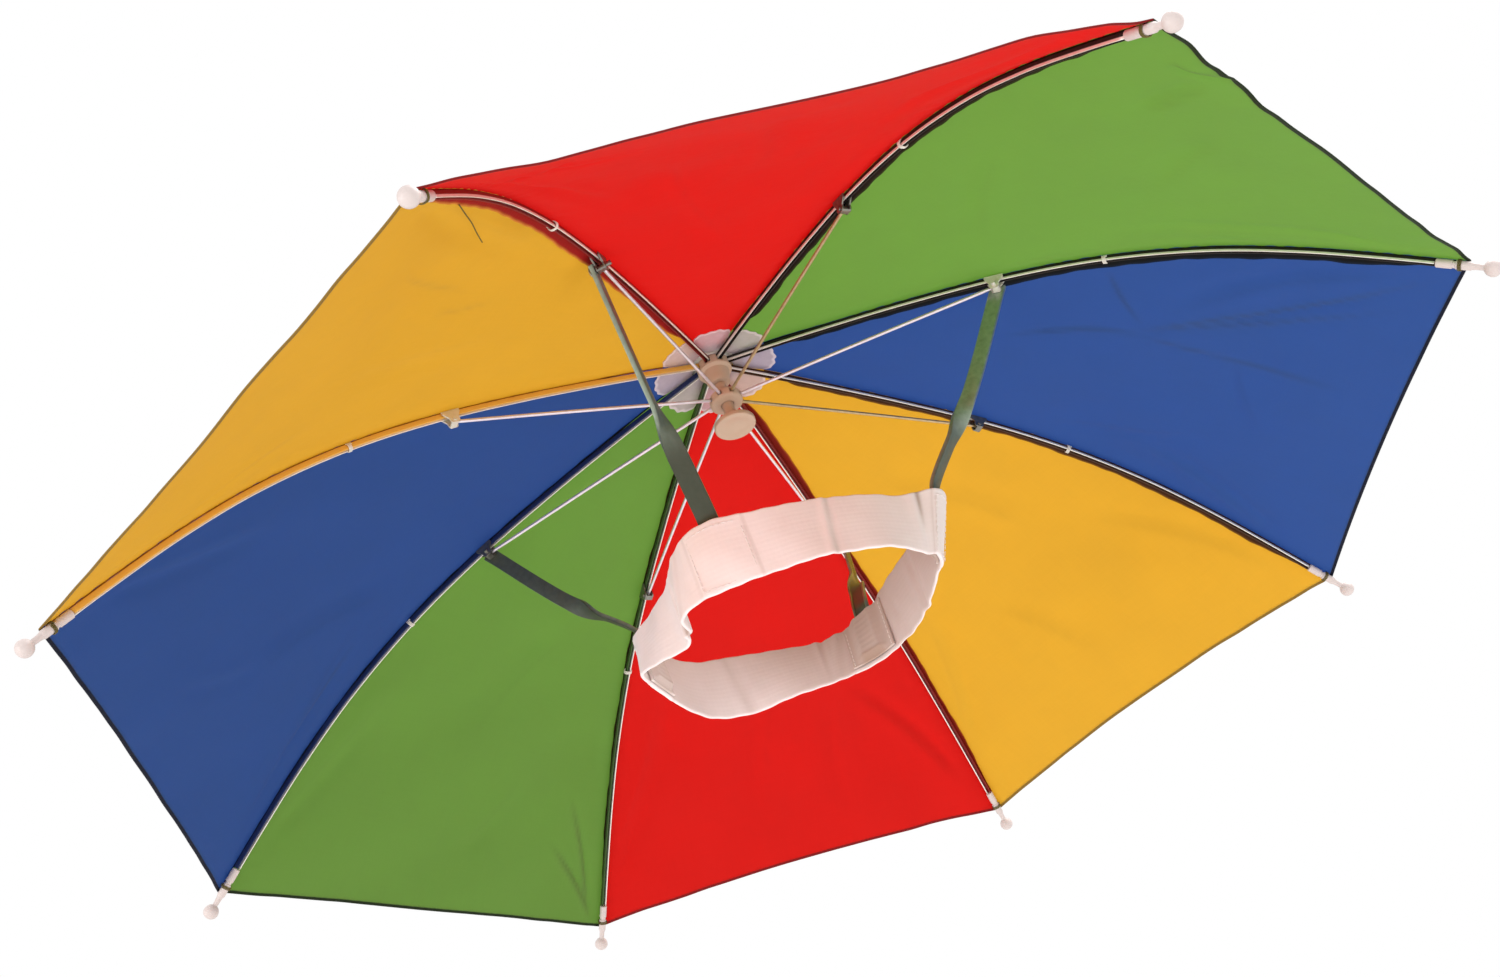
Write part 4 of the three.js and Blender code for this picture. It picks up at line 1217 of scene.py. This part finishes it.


# The headband

# Folds across the band: turn in degrees, width, depth at the bottom and top edges and lean, in mm,
# and how much painted shade the fold gets at its bottom and at its top
BAND_FOLDS = [
    (35.5, 1.6, 0.9, 0.8, 2.0, 0.25, 0.25), (78, 2.2, 0.3, 1.1, -1.0, 0.0, 0.8),
    (125, 2.0, 1.1, 0.3, 1.0, 0.5, 0.1), (148, 2.5, 0.4, 0.4, 3.0, 0.1, 0.1),
    (183, 1.6, 0.2, 0.9, -2.0, 0.0, 0.5), (190.5, 1.2, 0.1, 1.0, 0.0, 0.0, 0.4),
    (226, 3.0, 0.5, 0.4, 2.0, 0.1, 0.1), (309.5, 1.5, 1.9, 0.2, -1.0, 0.8, 0.0),
    (322, 3.0, 0.6, 0.5, 2.0, 0.15, 0.1),
]
BAND_COLUMNS = 520
BAND_ROWS = 46
BAND_RIM = 5
BAND_SEED = 7
# The turn round which the band's inner face gets painted shade, and how much
BAND_SHADE_TURN = 140
BAND_SHADE = 0.45
# How far a pocket and its stitches stand out through the band
PATCH_STEP = 0.35
POCKET_DEPTH = LEG_DEPTH + 2 * CLEARANCE + POCKET_EASE
# Where a pocket starts and how high it is, as shares of the band's height
POCKET_START = 0.04
POCKET_SHARE = 0.86
STITCH_LENGTH = 1.9
STITCH_PITCH = 2.6
STITCH_RADIUS = 0.17
STITCH_MARGIN = 1.2
LOOP_STEP = 0.002


def band_edge(radius, lift, height):
    """One edge of the band, from its columns in BAND_LOOP."""
    turns = np.radians([row[0] for row in BAND_LOOP])
    reach = np.array([row[radius] for row in BAND_LOOP]) * BAND_REACH
    rise = height + np.array([row[lift] for row in BAND_LOOP]) * BAND_HEIGHT
    return spline(np.stack([reach * np.cos(turns), reach * np.sin(turns), rise], axis=1), True)


band_top = band_edge(1, 3, BAND_HEIGHT / 2)
band_bottom = band_edge(2, 4, -BAND_HEIGHT / 2)


def band_place(loop, rise, offset):
    """A place on the band: from 0 to 1 round it and up it, and out from its wall's middle in mm."""
    wanted = (np.atleast_1d(np.asarray(value, float)) for value in (loop, rise, offset))
    loop, rise, offset = np.broadcast_arrays(*wanted)

    def at(where):
        return band_bottom(where) * (1 - rise)[:, None] + band_top(where) * rise[:, None]

    along = at(loop + LOOP_STEP) - at(loop - LOOP_STEP)
    outward = unit(np.cross(along, band_top(loop) - band_bottom(loop)))
    return at(loop) + outward * offset[:, None]


def loop_at_turn(degrees):
    """How far round the band, from 0 to 1, a turn about the hat's axis comes."""
    turns = [row[0] for row in BAND_LOOP]
    after = next(k for k, turn in enumerate(turns) if turn > degrees)
    before = after - 1
    return (before + (degrees - turns[before]) / (turns[after] - turns[before])) / len(turns)


LOOPS = np.linspace(0, 1, 1441)
middle_line = band_place(LOOPS, 0.5, 0)
WALKED = distances(middle_line)
BAND_LENGTH = float(WALKED[-1])


def loop_after(start, distance):
    """How far round the band a place lies that is so many mm past another."""
    return np.interp((np.interp(start % 1, LOOPS, WALKED) + distance) % BAND_LENGTH, WALKED, LOOPS)


def band_shade(turns):
    """How much painted shade the band's inner face gets at a turn in degrees round the hat's axis."""
    return BAND_SHADE * smooth(np.cos(np.radians(turns - BAND_SHADE_TURN)), 0.2, 0.9)


def band_piece():
    """The loop, its wall swept round in rings, with its folds pushed in and the pockets showing through."""
    walked = np.arange(BAND_COLUMNS) / BAND_COLUMNS * BAND_LENGTH
    loop = np.interp(walked, WALKED, LOOPS)
    edge = 0.5 * BAND_WALL / BAND_HEIGHT
    rises = np.linspace(edge, 1 - edge, BAND_ROWS)
    ripple = 0.025 * np.cos(np.linspace(0, 1, BAND_ROWS) * 2 * np.pi * 13)
    half = BAND_WALL / 2 - 0.1
    arc = np.linspace(0, np.pi, BAND_RIM + 2)[1:-1]
    bulge = edge * np.sin(arc)
    section_rise = np.concatenate([rises, 1 - edge + bulge, rises[::-1], edge - bulge])
    section_off = np.concatenate([-half - ripple, -half * np.cos(arc), half + ripple, half * np.cos(arc)])
    sides = len(section_rise)
    rise = np.tile(section_rise, BAND_COLUMNS)
    offset = np.tile(section_off, BAND_COLUMNS)
    around = np.repeat(loop, sides)
    where = np.repeat(walked, sides)
    turns = np.degrees(np.unwrap(np.arctan2(middle_line[:, 1], middle_line[:, 0])))
    push = np.zeros(len(where))
    # Painted shade in the folds, along the pockets' edges and on the inner face
    painted_shade = np.zeros(len(where))

    def gap_to(centre):
        return (where - centre + BAND_LENGTH / 2) % BAND_LENGTH - BAND_LENGTH / 2

    for degrees, width, low_depth, high_depth, lean, low_shade, high_shade in BAND_FOLDS:
        centre = np.interp(degrees if degrees >= turns[0] else degrees + 360, turns, WALKED)
        gap = gap_to(centre + (rise - 0.5) * lean * 2)
        depth = low_depth + (high_depth - low_depth) * rise**2
        push += depth * (np.exp(-((gap / width) ** 2)) - 0.5 * np.exp(-(((gap - 2 * width) / width) ** 2)))
        shade_here = low_shade * (1 - smooth(rise, 0.05, 0.7)) + high_shade * smooth(rise, 0.3, 0.9)
        painted_shade = np.maximum(painted_shade, shade_here * np.exp(-(((gap - 1.2 * width) / (0.5 * width)) ** 2)))
    for _, foot_turn, patch_width in LEGS:
        away = np.abs(gap_to(np.interp(loop_at_turn(foot_turn) % 1, LOOPS, WALKED)))
        push += PATCH_STEP * (1 - smooth(away, patch_width / 2 - 0.3, patch_width / 2 + 0.5)) * (offset > 0)
        painted_shade = np.maximum(painted_shade, 0.22 * np.exp(-(((away - patch_width / 2 - 0.4) / 0.5) ** 2)))
    painted_shade = np.maximum(painted_shade, band_shade(np.interp(where, WALKED, turns)) * (offset < 0))
    rng = np.random.default_rng(BAND_SEED)
    lap = where * 2 * np.pi / BAND_LENGTH
    for _ in range(6):
        push += 0.12 * np.sin(lap * rng.integers(3, 15) + rise * rng.uniform(0, 5))
    frill = 0.005 * np.sin(lap * 40) * np.abs(rise - 0.5) * 2
    points = band_place(around, rise + frill * np.sign(rise - 0.5), offset + push * 0.8)
    uv = np.stack([where, np.tile(section_rise * BAND_HEIGHT, BAND_COLUMNS)], axis=1)
    faces = ring_faces(BAND_COLUMNS, sides, True)
    made = piece_from("elastic_loop", points, faces, elastic, uv, {"painted_shade": painted_shade})
    return placed(made, "elastic", "headband")


def pocket_piece(index, foot_turn, width):
    """A patch inside the band, bulging over a leg's foot."""
    middle = loop_at_turn(foot_turn)
    half = width / 2
    foot = LEG_FOOT_WIDTH / 2 + 2 * CLEARANCE
    seam = foot + 0.7 * (half - foot)
    middle_reach = np.linspace(-seam, seam, 40)[1:-1]
    reach = np.concatenate([np.linspace(-half, -seam, 6), middle_reach, np.linspace(seam, half, 6)])
    bulge = 1 - smooth(np.abs(reach), foot - 0.4, seam)
    rises = np.linspace(POCKET_START, POCKET_START + POCKET_SHARE, 30)
    grid_loop = np.tile(loop_after(middle, reach), len(rises))
    grid_rise = np.repeat(rises, len(reach))
    filled = np.tile(bulge, len(rises)) * smooth(grid_rise, POCKET_START, 0.15)
    quilt = 0.08 * np.sin(grid_rise * 60) * filled
    stand = BAND_WALL / 2 + CLEARANCE + POCKET_DEPTH * filled + quilt
    shape = (len(rises), len(reach), 3)
    near = band_place(grid_loop, grid_rise, -stand).reshape(shape)
    far = band_place(grid_loop, grid_rise, -stand - POCKET_WALL).reshape(shape)
    uv = np.stack(np.broadcast_arrays(reach[None, :], (rises * BAND_HEIGHT)[:, None]), axis=-1)
    # Painted shade on the pocket's lower lip, over the whole patch, and as on the band's inner face
    lip = 0.35 * bulge[None] * (1 - smooth(rises, 0.12, 0.2))[:, None]
    shaded = lip + 0.1 + band_shade(foot_turn)
    patch = shell(f"patch_{index + 1}", near, far, patch_elastic, uv, {"painted_shade": shaded})
    return placed(bevelled(patch, 0.25, 50), "elastic", f"pocket_{index + 1}")


def stitch_row(loops, rises, offset):
    """Where short raised stitches run along a line on the band."""
    dense = band_place(loops, rises, offset)
    walked = distances(dense)
    marks = []
    for start in np.arange(0.3, walked[-1] - STITCH_LENGTH, STITCH_PITCH):
        steps = start + np.linspace(0, STITCH_LENGTH, 5)
        marks.append(np.stack([np.interp(steps, walked, dense[:, axis]) for axis in range(3)], axis=1))
    return marks


def stitches_piece(index, foot_turn, width):
    """The stitches round a pocket: its sides on both faces of the band, its ends on the outer one."""
    middle = loop_at_turn(foot_turn)
    outer = BAND_WALL / 2 + PATCH_STEP
    inner = -BAND_WALL / 2 - CLEARANCE - POCKET_WALL
    half = width / 2 - STITCH_MARGIN
    rows = []
    for reach in (-half, half):
        for offset in (outer, inner):
            rows += stitch_row(loop_after(middle, np.full(30, reach)), np.linspace(0.06, 0.88, 30), offset)
    for height in (0.06, 0.9):
        rows += stitch_row(loop_after(middle, np.linspace(-half, half, 30)), np.full(30, height), outer)
    name = f"patch_stitches_{index + 1}"
    stitches = [thread(name, places, STITCH_RADIUS, seam_thread, 5) for places in rows]
    return placed(joined(name, stitches), "elastic")


band = band_piece()
for k, (_, foot_turn, pocket_width) in enumerate(LEGS):
    pocket = pocket_piece(k, foot_turn, pocket_width)
    flat = (pocket_width * MM, POCKET_SHARE * BAND_HEIGHT * MM)
    stitches_piece(k, foot_turn, pocket_width)


# The legs

# How much painted shade and reflection each leg gets above its twist and below it
LEG_SHADES = ((0.5, 0.92), (0.0, 0.7), (0.0, 0.7), (0.7, 0.9))


def leg_piece(index, rib_index, foot_turn):
    """A leg from its rib's clip down into its pocket, and the side of the rib on which it hangs."""
    turn = rib_index * TURN
    way = foot_turn - math.degrees(turn)
    side = (way > 0) - (way < 0) or 1
    out_of_rib = turned(np.array([[0.0, side, 0.0]]), turn)[0]
    sideways = -out_of_rib
    pin = turned(PIN[None], turn)[0] + out_of_rib * LEG_SIDE
    loop = loop_at_turn(foot_turn)
    offset = -(BAND_WALL / 2 + 3 * CLEARANCE + LEG_DEPTH / 2)
    foot_top = band_place(loop, 1 + 2 * LEG_DEPTH / BAND_HEIGHT, offset)[0]
    ankle = band_place(loop, 1 - LEG_DEPTH / BAND_HEIGHT, offset)[0]
    foot_end = band_place(loop, LEG_FOOT_LIFT / BAND_HEIGHT, offset)[0]
    straight = foot_top - pin
    head = pin - unit(straight) * LEG_HEAD
    belly = pin + straight * LEG_BOW_SHARE + np.array([math.cos(turn), math.sin(turn), 0]) * LEG_BOW
    line, _ = even(spline([head, pin, belly, foot_top, ankle, foot_end], False), 200)
    share = np.linspace(0, 1, 150)
    places = line(share)
    along = unit(np.gradient(places, axis=0))
    rise = np.clip(places[:, 2] / BAND_HEIGHT + 0.5, 0, 1)
    band_way = band_place(loop - 2 * LOOP_STEP, rise, offset) - band_place(loop + 2 * LOOP_STEP, rise, offset)
    upright = unit(np.cross(along, sideways))
    flat = unit(np.cross(upright, along))
    twist = smooth(share, LEG_TWIST_START, LEG_TWIST_END)
    full = np.arctan2((band_way * flat).sum(1), (band_way * upright).sum(1)) * twist
    across = upright * np.cos(full)[:, None] + flat * np.sin(full)[:, None]
    deep = unit(np.cross(along, across))
    widths = LEG_WIDTH + (LEG_FOOT_WIDTH - LEG_WIDTH) * twist
    shape = channel_outline(LEG_WIDTH, LEG_DEPTH, LEG_WALL, 0.2)
    scale = widths / LEG_WIDTH
    made = swept(f"leg_strip_{index + 1}", places, across, deep, shape, leg_steel, scale, angle=40)
    axis = out_of_rib * 3 * LEG_DEPTH
    carved(made, bar("hole", PIN_RADIUS + CLEARANCE, pin - axis, pin + axis, 24))
    shade(made, 40)
    spots = spots_of(made)
    nearest = np.linalg.norm(spots[:, None] - places[None], axis=-1).argmin(axis=1)
    # Painted shade and reflection along the leg, less on the walls' rims, which take a painted highlight
    on_rim = ((spots - places[nearest]) * deep[nearest]).sum(axis=1) > LEG_WALL / 2
    high_shade, low_shade = LEG_SHADES[index]
    shaded = high_shade + (low_shade - high_shade) * twist[nearest]
    marked(made, "painted_reflection", shaded * (1 - 0.7 * on_rim))
    placed(made, "leg_steel", f"leg_{index + 1}")
    return side


def rivet_piece(index, rib_index, side):
    """A domed head on the outer face of a leg."""
    foot = 0.12
    dome = arc(0, foot, RIVET_RADIUS, RIVET_HEIGHT - foot, 0.2, 1.45, 8)
    profile = [(RIVET_RADIUS - 0.15, 0.0), (RIVET_RADIUS, foot), *dome]
    made = lathed(f"rivet_head_{index + 1}", profile, 28, rivet_steel)
    start = LEG_SIDE + LEG_DEPTH / 2 + CLEARANCE
    made.data.transform(Matrix.Rotation(-side * math.pi / 2, 4, "X"))
    made.data.transform(Matrix.Translation(Vector((PIN[0], side * start, PIN[2])) * MM))
    made.data.transform(spoke(rib_index))
    return placed(made, "rivet_steel", f"leg_rivet_{index + 1}")


for k, (rib_index, foot_turn, _) in enumerate(LEGS):
    rivet_piece(k, rib_index, leg_piece(k, rib_index, foot_turn))


# The hub

NOTCH_TOP = float(rib_station(share_at_reach(NOTCH_RADIUS))[0][0][2]) + RIB_DEPTH / 2 + CLEARANCE
NOTCH_BOTTOM = NOTCH_TOP - NOTCH_HEIGHT
DISC_TOP = CANOPY_TOP - DISC_DROP + DISC_HEIGHT
DISC_ROUND = 0.7
HUB_SIDES = 64


def slots_cut(made, width, inner, outer, height, middle):
    """Cuts a slot to each rib."""
    length = outer + 1 - inner
    for k in range(RIB_COUNT):
        carved(made, block("slot", (length, width, height), (inner + length / 2, 0, middle), k * TURN))


def notch_piece():
    """The slotted ring that holds the ribs, tapered down to a neck round the stem."""
    neck = STEM_RADIUS + NECK_WALL
    neck_bottom = NOTCH_BOTTOM - NECK_HEIGHT
    taper_top = NOTCH_BOTTOM + NOTCH_HEIGHT * NOTCH_TAPER_SHARE
    profile = [
        (neck + 0.6, neck_bottom), (neck + 1.0, neck_bottom + 0.4),
        (neck + 1.6, NOTCH_BOTTOM - NECK_HEIGHT / 2),
        (NOTCH_RADIUS - 1.4, taper_top - 0.9), (NOTCH_RADIUS - 0.3, taper_top - 0.2),
        (NOTCH_RADIUS, taper_top + 0.2), (NOTCH_RADIUS, NOTCH_TOP - 0.3), (NOTCH_RADIUS - 0.3, NOTCH_TOP),
    ]
    made = lathed("notch_body", profile, HUB_SIDES, hub_plastic)
    width = RIB_WIDTH + 2 * CLEARANCE
    slots_cut(made, width, NOTCH_RADIUS - NOTCH_SLOT_DEPTH, NOTCH_RADIUS, 3 * RIB_DEPTH, NOTCH_TOP)
    return placed(bevelled(made, 0.15, 40), "hub_plastic", "top_notch")


def runner_piece():
    """The slotted ring that holds the stretchers, free to slide on the stem."""
    bore = STEM_RADIUS + CLEARANCE
    bottom, top = RUNNER_MIDDLE - RUNNER_HEIGHT / 2, RUNNER_MIDDLE + RUNNER_HEIGHT / 2
    profile = [
        (RUNNER_RADIUS - 1.5, bottom), (RUNNER_RADIUS - 0.8, bottom + 0.25),
        (RUNNER_RADIUS - 0.2, bottom + 0.8), (RUNNER_RADIUS, bottom + 1.4), (RUNNER_RADIUS, top - 1.2),
        (RUNNER_RADIUS - 0.4, top - 0.7), (bore + 1.7, top - 0.15), (bore + 1.2, top),
    ]
    made = lathed("runner_ring", profile, HUB_SIDES, hub_plastic)
    carved(made, bar("bore", bore, (0, 0, bottom - 2), (0, 0, top + 2), 48))
    width = 2 * (WIRE_RADIUS + CLEARANCE)
    slots_cut(made, width, RUNNER_RADIUS - RUNNER_SLOT_DEPTH, RUNNER_RADIUS, width, RUNNER_MIDDLE)
    return placed(bevelled(made, 0.12, 40), "hub_plastic", "runner")


def end_disc_piece():
    """The round disc and the stem that stands on it, up to the notch's neck."""
    low = DISC_TOP - DISC_HEIGHT
    stem_top = NOTCH_BOTTOM - NECK_HEIGHT - CLEARANCE
    edge = DISC_RADIUS - DISC_ROUND
    rim = arc(edge, low + DISC_ROUND, DISC_ROUND, DISC_ROUND, -math.pi / 2, 0, 6)
    upper = arc(edge, DISC_TOP - DISC_ROUND, DISC_ROUND, DISC_ROUND, 0, math.pi / 2, 6)
    profile = [
        (0.8, low + 0.25), (5.6, low + 0.25), (6.0, low), *rim, *upper,
        (STEM_RADIUS + 0.8, DISC_TOP), (STEM_RADIUS + 0.15, DISC_TOP + 0.3), (STEM_RADIUS, DISC_TOP + 0.9),
        (STEM_RADIUS, stem_top - 0.3), (STEM_RADIUS - 0.3, stem_top),
    ]
    return placed(lathed("push_disc", profile, HUB_SIDES, hub_plastic), "hub_plastic", "end_disc")


def cap_piece():
    """A low dome over the canopy's middle, with a plug down through the panels' hole."""
    ridge_place = np.array([share_at_reach(CAP_RADIUS)]), np.array([0.0])
    rim_bottom = (cloth(*ridge_place)[0] + cloth_normal(*ridge_place)[0])[2] + CLEARANCE
    base = CANOPY_TOP + CLOTH_LIFT
    plug = min(NOTCH_RADIUS, HOLE_RADIUS * math.cos(TURN / 2) - 2 * CLEARANCE)
    dome = arc(0, base, CAP_RADIUS, CAP_HEIGHT, 0.12, 1.49, 22)
    plug_bottom = NOTCH_TOP + CLEARANCE
    profile = [
        (plug - 0.4, plug_bottom), (plug, plug_bottom + 0.4), (plug, base + ROSETTE_LIFT + 1.0),
        (CAP_RADIUS - 0.3, rim_bottom), (CAP_RADIUS, rim_bottom + 0.3), (CAP_RADIUS, base - 0.3), *dome,
    ]
    return placed(lathed("crown_cap", profile, HUB_SIDES, cap_plastic), "cap_plastic", "top_cap")


notch_piece()
runner_piece()
end_disc_piece()
cap_piece()


# Threads that tie the cloth to the ribs and the tips

TIE_SHARE = share_at_reach(0.585 * RIB_REACH)
CORNER_TIE_SHARE = 1 - 11.5 / RIB_LENGTH
TIE_TOP = RIB_DEPTH / 2 + CLEARANCE / 2


def tie_places(share, half_width, drop, rise, turns, pitch):
    """A thread wound round a rib, so far to its sides, below it and above it."""
    place, along, outward = (row[0] for row in rib_station(share))
    angle = np.linspace(0, 2 * np.pi * turns, int(22 * turns))
    side = np.sign(np.cos(angle)) * np.abs(np.cos(angle)) ** 0.7 * half_width
    height = np.sin(angle)
    lift = np.where(height > 0, height * rise, height * drop)
    drift = (angle / (2 * np.pi) - turns / 2) * pitch
    return place + along * drift[:, None] + np.array([0, 1.0, 0]) * side[:, None] + outward * lift[:, None]


tie = thread("tie_1", tie_places(TIE_SHARE, 1.75, 1.5, TIE_TOP, 3.5, 0.55), 0.24, white_thread)
corner_tie = thread("corner_tie_1", tie_places(CORNER_TIE_SHARE, 2.0, 2.05, 2.1, 3, 0.5), 0.2, dark_thread)
for k in range(1, RIB_COUNT):
    placed(copied(tie, f"tie_{k + 1}", spoke(k)), "rosette_cloth")
    placed(copied(corner_tie, f"corner_tie_{k + 1}", spoke(k)), "rosette_cloth")
placed(tie, "rosette_cloth")
placed(corner_tie, "rosette_cloth")

# A loose end that lies on the eighth panel: share of the rib's line, and across the panel
LOOSE_THREAD = [(0.805, 0.968), (0.761, 0.945), (0.725, 0.925), (0.690, 0.900), (0.661, 0.879)]
loose_shares, loose_across = np.array(LOOSE_THREAD).T
loose_points = cloth(loose_shares, loose_across) - cloth_normal(loose_shares, loose_across) * 0.9
loose_line = turned(spline(loose_points, False)(np.linspace(0, 1, 40)), 7 * TURN)
placed(thread("loose_thread", loose_line, 0.22, dark_thread), "rosette_cloth")


# Floor, light and camera

FLOOR_SIZE = 8
FLOOR_HEIGHT = -0.62
EYE_PLACE = (0.5942, 0.1266, -0.3585)
EYE_TURNS = (126.0785, 16.7299, 114.2013)
EYE_LENS = 42.694
EYE_SENSOR = 36


def floor_finish():
    finish = Finish("pale_floor")
    clouds = finish.noise(finish.where(), 1.5, 4)
    tone = finish.blend(clouds, shown(244, 243, 241), shown(250, 249, 248))
    return finish.done(finish.surface({"Base Color": tone, "Roughness": 0.8 + clouds * 0.1}))


bpy.ops.object.select_all(action="DESELECT")
bpy.ops.mesh.primitive_plane_add(size=FLOOR_SIZE, location=(0, 0, FLOOR_HEIGHT))
floor = bpy.context.object
floor.name = "floor"
floor.data.materials.append(floor_finish())

world = bpy.data.worlds.new("studio")
bpy.context.scene.world = world
world.use_nodes = True
sky = world.node_tree.nodes["Background"].inputs
sky["Color"].default_value = (1, 1, 1, 1)
sky["Strength"].default_value = 1.0


def lamp(name, place, aim, size, power):
    """A square lamp, placed and aimed in metres."""
    data = bpy.data.lights.new(name, "AREA")
    data.shape = "SQUARE"
    data.size = size
    data.energy = power
    made = bpy.data.objects.new(name, data)
    made.location = place
    made.rotation_euler = (Vector(aim) - Vector(place)).to_track_quat("-Z", "Y").to_euler()
    bpy.context.scene.collection.objects.link(made)


lamp("overhead", (-0.2, 1.2, 1.6), (0, 0, 0.05), 1.6, 42)
lamp("front", (1.4, -1.2, -0.25), (0, 0, 0.05), 0.9, 13)

eye = bpy.data.cameras.new("photo_eye")
eye.sensor_width = EYE_SENSOR
eye.lens = EYE_LENS
camera = bpy.data.objects.new("photo_eye", eye)
camera.location = EYE_PLACE
camera.rotation_euler = tuple(math.radians(angle) for angle in EYE_TURNS)
bpy.context.scene.collection.objects.link(camera)
bpy.context.scene.camera = camera
bpy.context.scene.view_settings.view_transform = "Standard"
